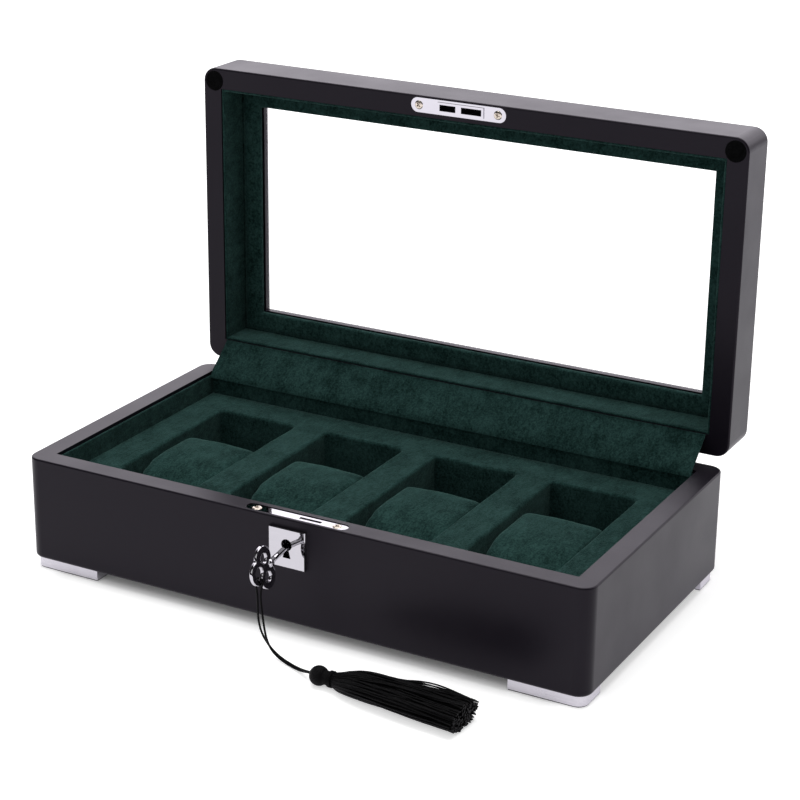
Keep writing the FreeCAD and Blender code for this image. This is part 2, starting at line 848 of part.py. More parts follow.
def glazing():
    """The lid's top frame, its pane and the velvet frame that holds the pane."""
    def window(body, name, low, thickness):
        sketch = drawing(body, name, "XY_Plane", low)
        half_x = "window_length / 2"
        half_y = "window_width / 2"
        rectangle(sketch, f"0 - {half_x}", f"0 - {half_y}", half_x, half_y)
        return pocket(body, sketch, thickness)

    top, panel = plate("top_frame", "half_width", "half_depth", "top_low", "top_thickness")
    rounded(top, panel, "corner_radius", upright)
    opening = window(top, "top_window", "top_low", "top_thickness")
    rounded(top, opening, "outer_round", outer_edges(number("lid_top")))
    keep("lid_top_frame", top, True)

    pane, _ = plate(
        "pane", "(inner_half_width - glass_clearance)", "(inner_half_depth - glass_clearance)",
        "glass_low", "glass_thickness",
    )
    keep("window_glass", pane, True)
    velvet, _ = plate(
        "velvet_frame", "(inner_half_width - glass_clearance)", "(inner_half_depth - glass_clearance)",
        "window_liner_low", "window_liner_thickness",
    )
    window(velvet, "velvet_window", "window_liner_low", "window_liner_thickness")
    keep("window_liner", velvet, True)


def bumpers():
    """Felt discs on the lid's two front corners, which the closed lid rests on."""
    for side in ("left", "right"):
        name = f"lid_bumper_{side}"
        body = doc.addObject("PartDesign::Body", name)
        sketch = drawing(body, name + "_outline", "XY_Plane", "lid_low - bumper_height")
        across = f"{corner_sign(side)} (half_width - bumper_setback)"
        circle(sketch, across, "bumper_setback - half_depth", "bumper_radius")
        pad(body, sketch, "bumper_height")
        keep(name, body, True)


KNUCKLES = 5


def hinge_leaf(name, side, own, leaf_low, stop_turn, stop_low):
    """One leaf with its own knuckles and the bar that stops the lid when it is open."""
    middle = f"({corner_sign(side)} hinge_spacing / 2)"
    start = f"({middle} - hinge_length / 2)"
    pitch = f"hinge_length / {KNUCKLES}"
    parts = [block(
        name + "_plate", (start, "leaf_start", leaf_low),
        ("hinge_length", "leaf_end - leaf_start", "leaf_thickness"),
    )]
    axis = spot("0", "hinge_y", "hinge_z")
    stop_turned = Rotation(Vector(1, 0, 0), stop_turn)
    for index in own:
        low = f"{start} + {index} * {pitch} + knuckle_gap / 2"
        length = f"{pitch} - knuckle_gap"
        centre = (low, "hinge_y", "hinge_z")
        parts.append(rod(f"{name}_knuckle_{index}", centre, "barrel_radius", length, ALONG_X))
        parts.append(block(
            f"{name}_web_{index}", (low, "leaf_end - web_overlap", leaf_low),
            (length, "hinge_y - leaf_end + web_overlap", "leaf_thickness"),
        ))
        arm = doc.addObject("Part::Box", f"{name}_arm_{index}")
        bind(arm, Length=length, Width="stop_reach - hinge_pin_radius", Height="stop_thickness")
        foot = Vector(number(low), 0, 0) + axis
        arm.Placement = Placement(
            foot + stop_turned.multVec(Vector(0, number("hinge_pin_radius"), number(stop_low))), stop_turned,
        )
        parts.append(arm)
    bar = doc.addObject("Part::Box", name + "_stop_bar")
    bar_width = "stop_reach - barrel_radius - barrel_clearance"
    bind(bar, Length="hinge_length", Width=bar_width, Height="stop_thickness")
    bar.Placement = Placement(
        Vector(number(start), 0, 0) + axis
        + stop_turned.multVec(Vector(0, number("barrel_radius + barrel_clearance"), number(stop_low))),
        stop_turned,
    )
    parts.append(bar)
    bore = rod(
        name + "_bore", (f"{start} - cutter_margin", "hinge_y", "hinge_z"),
        "hinge_pin_radius + pin_clearance", "hinge_length + 2 * cutter_margin", ALONG_X,
    )
    countersinks = screws(name + "_sink", [
        (f"{middle} {sign} hinge_length / 4", "half_depth - leaf_reach / 2",
         "rim_level" if stop_turn < 0 else "lid_low")
        for sign in "-+"
    ], Rotation() if stop_turn < 0 else POINTING_UP, "screw_clearance")
    return cut(name, joined(name + "_blank", parts), bore, *countersinks)


def hinges():
    """Two stop hinges with their leaves let into the rims and their pins."""
    half_turn = number("open_angle") / 2
    base_knuckles = range(0, KNUCKLES, 2)
    lid_knuckles = range(1, KNUCKLES, 2)
    for side in ("left", "right"):
        name = f"hinge_{side}"
        keep(f"{name}_base_leaf", hinge_leaf(
            f"{name}_base", side, base_knuckles, "rim_level - leaf_thickness", -half_turn,
            "0 - stop_thickness - stop_gap",
        ))
        keep(f"{name}_lid_leaf", hinge_leaf(
            f"{name}_lid", side, lid_knuckles, "lid_low", half_turn, "stop_gap",
        ), True)
        start = f"{corner_sign(side)} hinge_spacing / 2 - hinge_length / 2"
        pin_place = (start, "hinge_y", "hinge_z")
        keep(f"{name}_pin", rod(f"{name}_pin", pin_place, "hinge_pin_radius", "hinge_length", ALONG_X))
    keep("hinge_base_screws", group("base_hinge_set", screws("base_hinge_screw", hinge_spots("rim_level"))))
    keep("hinge_lid_screws", group(
        "lid_hinge_set", screws("lid_hinge_screw", hinge_spots("lid_low"), POINTING_UP),
    ), True)


def flap():
    """The velvet strip that covers the hinges, from the back liner up to the lid."""
    body = doc.addObject("PartDesign::Body", "flap_strip")
    half = "(inner_half_width - flap_end_gap)"
    sketch = drawing(body, "flap_profile", "YZ_Plane", f"0 - {half}")
    near = "inner_half_depth - flap_clearance"
    lid_rim = "(lid_low - hinge_z)"
    lid_back = "(hinge_y - inner_half_depth)"
    lid_face = f"hinge_y + {lid_rim} * sin(open_angle) - {lid_back} * cos(open_angle) - flap_clearance"
    lid_edge = f"hinge_z + {lid_back} * sin(open_angle) + {lid_rim} * cos(open_angle)"
    outline(sketch, [
        (near, "liner_top + flap_clearance"),
        (near, "rim_level + flap_clearance"),
        (lid_face, lid_edge + " - flap_thickness"),
        (lid_face, lid_edge + " + flap_thickness / 2"),
        (f"{near} - flap_thickness", "rim_level + flap_thickness + flap_clearance"),
        (f"{near} - flap_thickness", "liner_top + flap_clearance"),
    ])
    pad(body, sketch, f"2 * {half}")
    keep("hinge_flap", body)


def lock():
    """The mortise lock: its case, its plate in the rim, the swinging hook and its pivot."""
    drill = screws("lock_sink", lock_screw_spots(), grow="screw_clearance")
    face = stadium(
        "lock_face", "lock_plate_length", "lock_plate_width", "lock_plate_thickness", "lock_y", "case_top",
        "lock_plate_offset",
    )
    slot_front = "lock_y - slot_width / 2"
    slot = block(
        "lock_slot", ("slot_start", slot_front, "case_top - cutter_margin"),
        ("slot_length", "slot_width", "lock_plate_thickness + 2 * cutter_margin"),
    )
    keep("lock_plate", cut("lock_plate_piece", face, slot, *drill))
    keep("lock_plate_screws", group("lock_screw_set", screws("lock_screw", lock_screw_spots())))

    shell = block(
        "case_shell", ("0 - case_length / 2", "lock_y - case_thickness / 2", "case_top - case_height"),
        ("case_length", "case_thickness", "case_height"),
    )
    room = block(
        "case_room", (
            "case_wall - case_length / 2", "lock_y + case_wall - case_thickness / 2",
            "case_top - case_height + case_wall",
        ),
        ("case_length - 2 * case_wall", "case_thickness - 2 * case_wall", "case_height - 2 * case_wall"),
    )
    mouth = block(
        "case_mouth", ("slot_start", slot_front, "case_top - 2 * case_wall"),
        ("slot_length", "slot_width", "3 * case_wall"),
    )
    keyway = keyhole_tool(
        "case_keyway", "keyhole_clearance", "lock_y - case_thickness / 2 - cutter_margin",
        "case_wall + 2 * cutter_margin",
    )
    seat = rod(
        "pivot_seat", ("hook_pivot_offset", "lock_y - case_thickness / 2 - cutter_margin", "hook_pivot_z"),
        "hook_pin_radius + pin_clearance", "case_thickness + 2 * cutter_margin", ALONG_Y,
    )
    keep("lock_case", cut("lock_case_piece", shell, room, mouth, keyway, seat))
    keep("hook_pivot", rod(
        "hook_pivot_pin", ("hook_pivot_offset", "lock_y - case_thickness / 2", "hook_pivot_z"),
        "hook_pin_radius", "case_thickness", ALONG_Y,
    ))
    keep("lock_hook", hook())


def hook():
    """A sickle that swings about its pivot: an arm on an arc, a spoke at its tail and a hub."""
    pivot = spot("hook_pivot_offset", "lock_y - hook_thickness / 2", "hook_pivot_z")
    inner = number("hook_inner_radius")
    outer = number("hook_outer_radius")
    tip = number("hook_tip_angle")
    tail = tip + number("hook_sweep")
    spoke = tail - number("hook_spoke_sweep")
    forward = Vector(0, number("hook_thickness"), 0)

    def sector(small, large, start, end):
        arms = []
        for radius in (small, large):
            arms.append([
                pivot + Rotation(Vector(0, -1, 0), angle).multVec(Vector(radius, 0, 0))
                for angle in (start, (start + end) / 2, end)
            ])
        near, far = arms
        wire = Part.Wire([
            Part.Arc(*far).toShape(),
            Part.makeLine(far[2], near[2]),
            Part.Arc(*reversed(near)).toShape(),
            Part.makeLine(near[0], far[0]),
        ])
        return Part.Face(wire).extrude(forward)
    hub = Part.makeCylinder(number("hook_hub_radius"), forward.Length, pivot, forward)
    bore = Part.makeCylinder(number("hook_pin_radius + pin_clearance"), forward.Length, pivot, forward)
    arm = sector(inner, outer, tip, tail)
    web = sector(number("hook_pin_radius"), number("hook_inner_radius + web_overlap"), spoke, tail)
    item = doc.addObject("Part::Feature", "hook_sickle")
    item.Shape = arm.fuse([web, hub]).cut(bore).removeSplitter()
    return item


def strike():
    """The strike plate: round ends, and a raised middle with two windows for the hook."""
    body_plate = stadium(
        "strike_flat", "strike_length", "strike_width", "strike_thickness", "lock_y", "strike_low",
        "strike_offset",
    )
    raised_start = "strike_raised_offset - strike_raised_length / 2"
    raised = block(
        "strike_raised", (raised_start, "lock_y - strike_raised_width / 2", "strike_low - strike_raise"),
        ("strike_raised_length", "strike_raised_width", "strike_raise + strike_thickness / 2"),
    )
    inside = "2 * strike_thickness"
    dish = block(
        "strike_dish", (
            raised_start + " + strike_thickness", "lock_y - strike_raised_width / 2 + strike_thickness",
            "strike_low - strike_raise + strike_thickness",
        ),
        (
            f"strike_raised_length - {inside}", f"strike_raised_width - {inside}",
            "strike_raise + cutter_margin",
        ),
    )
    window_front = "lock_y - strike_window_width / 2"
    window_low = "strike_low - strike_raise - cutter_margin"
    window_depth = "strike_raise + strike_thickness + 2 * cutter_margin"
    windows = [
        block(
            f"strike_{side}_window",
            (f"{side}_window_offset - {side}_window_length / 2", window_front, window_low),
            (f"{side}_window_length", "strike_window_width", window_depth),
        )
        for side in ("left", "right")
    ]
    sinks = screws("strike_sink", strike_screw_spots(), POINTING_UP, "screw_clearance")
    blank = joined("strike_blank", [body_plate, raised])
    keep("strike_plate", cut("strike_piece", blank, dish, *windows, *sinks), True)
    keep("strike_screws", group(
        "strike_screw_set", screws("strike_screw", strike_screw_spots(), POINTING_UP),
    ), True)


def escutcheon():
    """The square keyhole plate on the front, with its edges eased."""
    body = doc.addObject("PartDesign::Body", "keyhole_plate")
    half = "escutcheon_size / 2"
    sketch = drawing(body, "escutcheon_outline", "XZ_Plane", "half_depth")
    rectangle(
        sketch, f"keyhole_offset - {half}", f"escutcheon_z - {half}",
        f"keyhole_offset + {half}", f"escutcheon_z + {half}",
    )
    square = pad(body, sketch, "escutcheon_thickness")
    face = number("escutcheon_face")
    rim = [
        f"Edge{index}" for index, edge in enumerate(square.Shape.Edges, start=1)
        if abs(edge.BoundBox.YMin - face) < 1e-6 and edge.BoundBox.YLength < 1e-6
    ]
    eased = body.newObject("PartDesign::Chamfer", "escutcheon_eased")
    eased.Base = (square, rim)
    bind(eased, Size="escutcheon_chamfer")
    doc.recompute()
    hole = keyhole_tool(
        "escutcheon_keyhole", "0", "escutcheon_face - cutter_margin",
        "escutcheon_thickness + 2 * cutter_margin",
    )
    keep("escutcheon", cut("escutcheon_piece", body, hole))


def key():
    """The key as it hangs in the lock, a little turned: shank, collar, bit and a bow of three rings."""
    outer_end = ("0", "0 - key_reach", "0")
    collar_end = ("0", "key_collar_gap - key_reach", "0")
    parts = [
        rod("key_shank", outer_end, "key_shank_radius", "key_reach + key_entry", ALONG_Y),
        rod("key_collar", collar_end, "key_collar_radius", "key_collar_length", ALONG_Y),
    ]
    ring_places = {
        "upper": ("0 - key_reach", "key_ring_spread"),
        "lower": ("0 - key_reach", "0 - key_ring_spread"),
        "outer": ("0 - key_reach - key_ring_reach", "0"),
    }
    for name, (y, z) in ring_places.items():
        ring = doc.addObject("Part::Torus", f"key_ring_{name}")
        bind(ring, Radius1="key_ring_radius", Radius2="key_ring_wire")
        parts.append(put(ring, "0", y, z, ALONG_X))
    bit_start = "key_entry - key_bit_setback - key_bit_width"
    bit_low = ("0 - key_bit_thickness / 2", bit_start, "0 - key_bit_reach")
    parts.append(block("key_bit", bit_low, ("key_bit_thickness", "key_bit_width", "key_bit_reach")))
    item = joined("key_blank", parts)
    drooped = Rotation(Vector(1, 0, 0), number("key_droop"))
    turned = Rotation(Vector(0, 1, 0), -number("key_turned"))
    item.Placement = Placement(spot("keyhole_offset", "escutcheon_face", "key_z"), drooped.multiply(turned))
    keep("key", item)


def cord_tube(name, points, radius):
    """A limp cord: straight runs joined by arcs as large as the two runs allow."""
    share = 0.45
    edges = []
    last = points[0]
    radii = []
    for before, here, after in zip(points, points[1:], points[2:]):
        into = here - before
        out = after - here
        half_turn = into.getAngle(out) / 2
        reach = share * min(into.Length, out.Length)
        radii.append(reach / math.tan(half_turn))
        start = here - into.normalize() * reach
        end = here + out.normalize() * reach
        bisector = (end - here) + (start - here)
        depth = radii[-1] / math.cos(half_turn) - radii[-1]
        middle = here + bisector.normalize() * depth
        edges.append(Part.LineSegment(last, start).toShape())
        edges.append(Part.Arc(start, middle, end).toShape())
        last = end
    edges.append(Part.LineSegment(last, points[-1]).toShape())
    path = Part.Wire(edges)
    first = (points[1] - points[0]).normalize()
    section = Part.Wire([Part.makeCircle(radius, points[0], first)])
    item = doc.addObject("Part::Feature", name)
    item.Shape = path.makePipeShell([section], True, False)
    length = path.Length
    print(name, "length", round(length, 1), "radii", [round(r, 1) for r in radii])
    swept = length * math.pi * radius ** 2
    print(name, "volume over section times length", round(item.Shape.Volume / swept, 4))
    return item


# The cord's two strands, from the key's outer ring down to the tassel's head
LEFT_STRAND = [
    (-0.05, -119.85, 45.05), (-1.6, -119.85, 44.75), (-2.35, -119.9, 42.9), (-1.9, -120.0, 39.9),
    (-1.0, -120.1, 34.9), (-1.0, -120.2, 26.9), (-0.6, -119.8, 18.9), (0.6, -118.2, 12.1),
    (3.7, -116.8, 6.1), (8.2, -117.1, 2.9), (13.1, -118.1, 1.3), (18.7, -119.9, 0.95),
    (24.9, -122.6, 1.4), (30.9, -125.7, 2.9), (36.65, -128.6, 4.85),
]
RIGHT_STRAND = [
    (0.4, -119.85, 45.05), (1.95, -119.85, 44.75), (2.7, -119.95, 42.9), (2.3, -120.2, 39.9),
    (1.6, -120.7, 34.9), (2.7, -121.4, 26.9), (3.9, -122.0, 18.9), (4.7, -120.9, 11.4),
    (6.9, -120.1, 5.3), (10.7, -120.3, 2.3), (15.1, -121.5, 1.1), (20.1, -123.5, 0.95),
    (25.5, -125.7, 1.5), (30.9, -127.9, 3.2), (36.15, -129.95, 5.25),
]


def tassel():
    """The cord's strands, the tassel's wrapped head with its binding, and its skirt."""
    radius = number("cord_diameter") / 2
    for name, route in (("left", LEFT_STRAND), ("right", RIGHT_STRAND)):
        keep(f"tassel_cord_{name}", cord_tube(f"strand_{name}", [Vector(*p) for p in route], radius))
    head_place = spot("tassel_x", "tassel_y", "tassel_head_radius + tassel_lift")
    along = Rotation(Vector(0, 0, 1), number("tassel_heading"))
    head = tassel_knob()
    head.Placement = Placement(head_place, along)
    keep("tassel_head", head)
    start = "tassel_head_radius + tassel_neck_length - binding_width - binding_setback"
    sleeve = rod(
        "binding_sleeve", (start, "0", "0"), "tassel_neck_radius + binding_thickness + fitting_clearance",
        "binding_width", ALONG_X,
    )
    inside = rod(
        "binding_inside", (f"{start} - cutter_margin", "0", "0"), "tassel_neck_radius + fitting_clearance",
        "binding_width + 2 * cutter_margin", ALONG_X,
    )
    binding = cut("binding_piece", sleeve, inside)
    binding.Placement = Placement(head_place, along)
    keep("tassel_binding", binding)

    length = number("skirt_length")
    neck_end = number("tassel_head_radius + tassel_neck_length + skirt_gap")
    lift = number("tassel_lift")
    neck_radius = number("tassel_neck_radius")
    shares = [(0.0, 1.0, 1.0), (0.12, 1.45, 1.15), (0.3, 2.1, 1.4), (0.6, 2.55, 1.6), (1.0, 2.9, 1.75)]
    sections = []
    for share, wide, high in shares:
        half_width = neck_radius * wide
        half_height = neck_radius * high
        centre = Vector(neck_end + share * length, 0, 0)
        rise = max(half_height + lift - head_place.z, 0.0)
        sections.append(oval(centre + Vector(0, 0, rise), half_width, half_height))
    item = doc.addObject("Part::Feature", "skirt_loft")
    item.Shape = Part.makeLoft(sections, True)
    item.Placement = Placement(head_place, along)
    keep("tassel_skirt", item)


def tassel_knob():
    """A ball with a short neck, turned about X."""
    body = doc.addObject("PartDesign::Body", "tassel_knob")
    sketch = drawing(body, "tassel_knob_profile", "XY_Plane")
    ball = number("tassel_head_radius")
    neck = number("tassel_neck_radius")
    start = Vector((ball ** 2 - neck ** 2) ** 0.5, neck, 0)
    end = Vector(ball + number("tassel_neck_length"), neck, 0)
    foot = Vector(end.x, 0, 0)
    back = Vector(-ball, 0, 0)
    bend = Part.Arc(start, Vector(0, ball, 0), back)
    round_end = Part.Circle(Vector(), Vector(0, 0, 1), ball)
    sketch.addGeometry(Part.ArcOfCircle(round_end, bend.FirstParameter, bend.LastParameter))
    for first, last in ((start, end), (end, foot), (foot, back)):
        sketch.addGeometry(Part.LineSegment(first, last))
    sketch.addConstraint(Sketcher.Constraint("Coincident", 0, 3, -1, 1))
    sketch.addConstraint(Sketcher.Constraint("Coincident", 0, 1, 1, 1))
    sketch.addConstraint(Sketcher.Constraint("Coincident", 1, 2, 2, 1))
    sketch.addConstraint(Sketcher.Constraint("Coincident", 2, 2, 3, 1))
    sketch.addConstraint(Sketcher.Constraint("Coincident", 3, 2, 0, 2))
    sketch.addConstraint(Sketcher.Constraint("PointOnObject", 2, 2, -1))
    sketch.addConstraint(Sketcher.Constraint("PointOnObject", 0, 2, -1))
    sketch.addConstraint(Sketcher.Constraint("Vertical", 2))
    sketch.addConstraint(Sketcher.Constraint("Horizontal", 1))
    tie(sketch, "DistanceX", 2, 1, "tassel_head_radius + tassel_neck_length")
    tie(sketch, "DistanceY", 2, 1, "tassel_neck_radius")
    held = sketch.addConstraint(Sketcher.Constraint("Radius", 0, ball))
    sketch.setExpression(f"Constraints[{held}]", linked("tassel_head_radius"))
    turned = body.newObject("PartDesign::Revolution", "tassel_knob_turned")
    turned.Profile = sketch
    turned.ReferenceAxis = (sketch, ["H_Axis"])
    turned.Angle = 360
    doc.recompute()
    return body


def oval(centre, half_width, half_height):
    """A closed oval across X, from four arcs through the points of an ellipse."""
    slant = 0.5 ** 0.5
    around = [(1, 0), (slant, slant), (0, 1), (-slant, slant)]
    around += [(-y, -z) for y, z in around]
    ring = [
        centre + Vector(0, half_width * y, half_height * z)
        for y, z in around
    ]
    ring.append(ring[0])
    return Part.Wire([Part.Arc(*ring[i:i + 3]).toShape() for i in range(0, 8, 2)])


base_boards()
floor_and_feet()
wall_liners("base", "floor_top", "liner_top - floor_top", False)
tray()
cushions()
lid_boards()
glazing()
wall_liners("lid", "lid_low + lid_liner_drop", "window_liner_low - lid_low - lid_liner_drop", True)
bumpers()
hinges()
flap()
lock()
strike()
escutcheon()
key()
tassel()
doc.recompute()

for item in doc.Objects:
    if "Invalid" in item.State or "Error" in item.State:
        raise RuntimeError(f"{item.Label} failed: {item.State}")
for name, item in pieces.items():
    if item.Shape.isNull() or not item.Shape.isValid():
        raise RuntimeError(f"{name} has no valid shape")

os.makedirs("parts", exist_ok=True)
for name, item in pieces.items():
    item.Shape.exportStep(f"parts/{name}.step")
print(len(pieces), "pieces")
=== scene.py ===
"""Looks of the watch box: lacquer, velvet, polished fittings, cushions, cord and tassel round the CAD frame.

Lengths in the tables are millimetres in the CAD frame, unless a heading says metres. Each surface is written
as a formula on a grid of two parameters and turned into metres when its mesh is made.
"""

import json
import math

import bmesh
import bpy
import numpy as np
from mathutils import Matrix, Vector


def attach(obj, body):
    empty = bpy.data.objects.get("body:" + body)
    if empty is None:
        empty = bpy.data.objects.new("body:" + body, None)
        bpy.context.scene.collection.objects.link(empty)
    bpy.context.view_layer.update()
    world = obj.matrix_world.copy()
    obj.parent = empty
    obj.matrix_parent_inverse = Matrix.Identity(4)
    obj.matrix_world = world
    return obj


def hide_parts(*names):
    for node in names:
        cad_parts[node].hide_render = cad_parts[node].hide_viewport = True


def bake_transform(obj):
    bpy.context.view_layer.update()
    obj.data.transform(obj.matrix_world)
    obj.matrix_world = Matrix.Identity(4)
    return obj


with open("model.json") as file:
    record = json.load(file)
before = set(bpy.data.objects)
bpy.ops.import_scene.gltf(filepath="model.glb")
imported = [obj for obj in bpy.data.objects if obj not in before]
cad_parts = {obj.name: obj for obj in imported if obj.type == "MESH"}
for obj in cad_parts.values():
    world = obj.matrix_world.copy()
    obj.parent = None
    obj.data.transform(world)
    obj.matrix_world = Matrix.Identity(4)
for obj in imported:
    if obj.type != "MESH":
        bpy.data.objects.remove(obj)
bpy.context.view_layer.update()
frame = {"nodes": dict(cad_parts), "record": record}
MM = 0.001
FULL_TURN = 2 * math.pi
QUARTER_TURN = math.pi / 2
GOLDEN_ANGLE = math.pi * (3 - math.sqrt(5))
SHARP_FROM = math.radians(65.0)
JOIN_WITHIN = 0.002
WAVES = 9

# Camera, with its places in metres, fitted to the straight edges of the photograph
CAMERA_AZIMUTH = math.radians(28.432)
CAMERA_ELEVATION = math.radians(20.716)
CAMERA_ROLL = math.radians(0.694)
CAMERA_DISTANCE = 1.169778
CAMERA_TARGET = Vector((0.021136, -0.011025, 0.110335))
CAMERA_LENS = 98.564
CAMERA_SENSOR = 36.0
CAMERA_CLIP = (0.05, 50.0)

# Hinge line, about which the lid stands open by a right angle
HINGE_Y = 93.4
HINGE_Z = 66.4

# Tray and its four openings; unevenness is height, wavelength and seed
TRAY_TOP = 53.4
TRAY_LOW = 11.3
TRAY_HALF = np.array([156.0, 76.0])
TRAY_INSET = 1.2
TRAY_ROUND = 1.6
TRAY_FACE_UNEVEN = (0.16, 22.0, 5)
TRAY_WALL_UNEVEN = (0.14, 26.0, 3)
TRAY_RIM_FADE = (1.3, 6.0)
TRAY_EDGE_FADE = (0.5, 4.0)
OPENING_PITCH = 72.5
OPENING_HALF = np.array([25.5, 52.5])
OPENING_CORNER = 3.0
OPENING_CENTRES = [OPENING_PITCH * (index - 1.5) for index in range(4)]
CORNER_SIGNS = np.array([(1, 1), (-1, 1), (-1, -1), (1, -1)])
CORNER_POINTS = 9
SIDE_POINTS = 22

# Velvet-covered cards on the walls, and the lining under the tray
LINER = 1.6
LINER_SETBACK = 0.06
LINER_STATION = 4.0
LINER_UNEVEN = (0.12, 19.0)
INNER_HALF = (158.0, 78.0)
BASE_LINER_SPAN = (10.3, 64.3)
LID_LINER_SPAN = (67.3, 87.2)
BASE_LINER_SEED = 30
LID_LINER_SEED = 40
FLOOR_LINING_THICKNESS = 0.95
FLOOR_LINING_SETBACK = 0.12
FLOOR_LINING_UNEVEN = (0.1, 18.0, 61)

# Glazed lid, drawn shut; the groove is given as depth by distance from the wall
WINDOW_HALF = np.array([144.5, 64.5])
WINDOW_LINER_HALF = np.array([157.7, 77.7])
WINDOW_LINER_SPAN = (87.2, 90.2)
WINDOW_LINER_UNEVEN = (0.1, 20.0, 71)
WINDOW_GROOVE = {0.0: 1.2, 1.4: 1.2, 2.0: 0.75, 2.8: 0.35, 3.8: 0.08, 5.0: 0.0, 7.0: 0.0, 9.0: 0.0}
WINDOW_ROUND = 1.4
WINDOW_LOOP_POINTS = (81, 41)
PANE_GAP = 0.05

# Felt bumpers: the section is share of the radius and height
BUMPER_RADIUS = 5.92
BUMPER_FACE = 66.2
BUMPER_PLACE = (162.5, -82.5)
BUMPER_SECTION = np.array([
    (0.02, 0.0), (0.3, 0.0), (0.55, 0.01), (0.75, 0.04), (0.88, 0.1), (0.96, 0.2), (1.0, 0.34), (1.0, 0.5),
])
BUMPER_TOP_ROWS = 6
BUMPER_RAGGED = (0.008, 3.0)
BUMPER_RAGGED_SEED = 101
BUMPER_UNEVEN = (0.03, 1.6)
BUMPER_UNEVEN_SEED = 111

# Flap over the hinges as a line in (y, z)
FLAP_LINE = np.array([
    (74.1, 63.2), (74.7, 65.4), (77.2, 68.2), (82.6, 72.6), (88.1, 77.1), (92.6, 80.8), (92.95, 82.0),
])
FLAP_HALF_WIDTH = 156.2
FLAP_THICKNESS = 0.8
FLAP_SMOOTHINGS = 6
FLAP_UNEVEN = (0.22, 30.0, 81)

# Watch cushions
CUSHION_HALF_WIDTH = 24.25
CUSHION_FRONT = -51.5
CUSHION_BACK = 15.0
CUSHION_LOW = 11.5
CUSHION_TOP = 52.6
CUSHION_SHOULDER = -10.0
CUSHION_NOSE = 22.5
CUSHION_BACK_ROUND = 4.0
CUSHION_FOOT_ROUND = 2.0
CUSHION_EDGE_ROUND = 2.2
CUSHION_GAP = 2.0
CUSHION_NOSE_SPAN = (CUSHION_NOSE - 1.5, CUSHION_LOW + 3.0)
CUSHION_UNDER_SPAN = (CUSHION_FRONT + 3.5, CUSHION_BACK - 3.5)
CUSHION_MIDDLE = np.array([-18.0, 30.0])
CUSHION_PANEL_STEPS = np.array([4.5, 8.0, 13.0, 19.0, 26.0])
CUSHION_PANEL_DRAW = (6.0, 1.15)
CUSHION_CROWN = (0.6, 0.7)
CUSHION_CROWN_FADE = (30.0, 50.0)
CUSHION_DENT_FADE = (20.0, 45.0)
CUSHION_UNEVEN = (0.2, 26.0)
CUSHION_SEED = 90

# Stuffing of a cushion's cover as cloth
STUFFING_ROOM = 0.9
STUFFING_STEPS = 20
STUFFING_SWELL_LIMIT = 1.5
COVER_GRAIN = 3.2
COVER_CLOTH = {
    "quality": 6, "mass": 0.2, "tension_stiffness": 25, "compression_stiffness": 25, "bending_stiffness": 2.0,
    "use_pressure": True, "uniform_pressure_force": 4.0,
}

# Feet: the inset and height of a pad's section run from floor to foot
FOOT_FAR = (168.0, 88.0)
FOOT_SIZE = (42.0, 20.0)
FOOT_CORNER = 6.0
PAD_THICKNESS = 0.7
PAD_INSETS = np.array([1.2, 0.5, 0.25, 0.15, 0.25, 0.5, 1.2])
PAD_LEVELS = np.array([0.0, 0.0, 0.2, 0.5, 0.8, 1.0, 1.0])

# Key: lengths along its own axis from the face of the keyhole plate, inward positive
KEY_PLACE = (-0.7, -92.2, 51.3)
KEY_DROOP = math.radians(8.0)
KEY_TURNED = math.radians(10.0)
KEY_SHANK = 1.5
KEY_ENTRY = 7.4
KEY_COLLAR_START = -12.3
KEY_COLLAR_LENGTH = 4.9
KEY_COLLAR_SWELL = 0.95
KEY_COLLAR_FACE = -17.3
KEY_COLLAR_FACE_LENGTH = 1.5
KEY_COLLAR_FACE_FALL = 1.2
KEY_BIT_SPAN = (6.0, 7.2)
KEY_BIT_REACH = 6.2
KEY_BIT_ROOT = 0.5
KEY_BIT_HALF = 0.65
KEY_WARD_SPAN = (6.45, 6.75)
KEY_WARD_DEPTH = 4.4
KEY_LOBE = 6.5
KEY_LOBES = {"upper": (-21.4, 5.3, 2.7), "lower": (-21.4, -5.3, 2.7), "outer": (-27.9, 0.0, 3.3)}
KEY_BOW_MIDDLE = np.array([-23.4, 0.0])
KEY_BOW_HALF = 0.95
KEY_BOW_EASE = 0.4
KEY_BOW_SHARPNESS = 2.6
KEY_FLAT_WITHIN = 0.985

# Eased edges of the plates
FITTING_EASE = {"strike_plate": 0.4, "lock_plate": 0.2, "escutcheon": 0.12}
FITTING_EASE_FROM = math.radians(35.0)

# Screws: a head is its radius and its rim's height; a place is the head's middle, its turn and its facing
SCREW_SEAT = 2.1
SCREW_SHANK = 0.9
SCREW_TIP = 0.05
SCREW_CONE = 1.1
SCREW_LENGTH = 7.0
SCREW_DOME = 0.3
SCREW_EDGE = 0.25
SCREW_EDGE_FROM = 0.84
SCREW_RECESS = 0.9
SCREW_ARM_HALF = (0.22, 0.34)
SCREW_ARM_REACH = (1.05, 1.35)
SCREW_CROSS_MIDDLE = (0.3, 0.6)
PLATE_HEAD = (2.55, 0.0)
LEAF_HEAD = (1.7, -0.35)
HINGE_SCREWS = list(enumerate((-109.5, -90.5, 90.5, 109.5)))
SCREW_SETS = {
    "lock_plate_screws": (
        "base", PLATE_HEAD, [((-23.15, -84.5, 65.7), 0.5, 1), ((25.15, -84.5, 65.7), 1.1, 1)],
    ),
    "strike_screws": ("lid", PLATE_HEAD, [((-25.9, -84.5, 67.0), 0.9, -1), ((23.5, -84.5, 67.0), 0.3, -1)]),
    "hinge_base_screws": (
        "base", LEAF_HEAD, [((x, 85.5, 66.1), 0.2 * number, 1) for number, x in HINGE_SCREWS],
    ),
    "hinge_lid_screws": (
        "lid", LEAF_HEAD, [((x, 85.5, 66.7), 0.3 * number, -1) for number, x in HINGE_SCREWS],
    ),
}
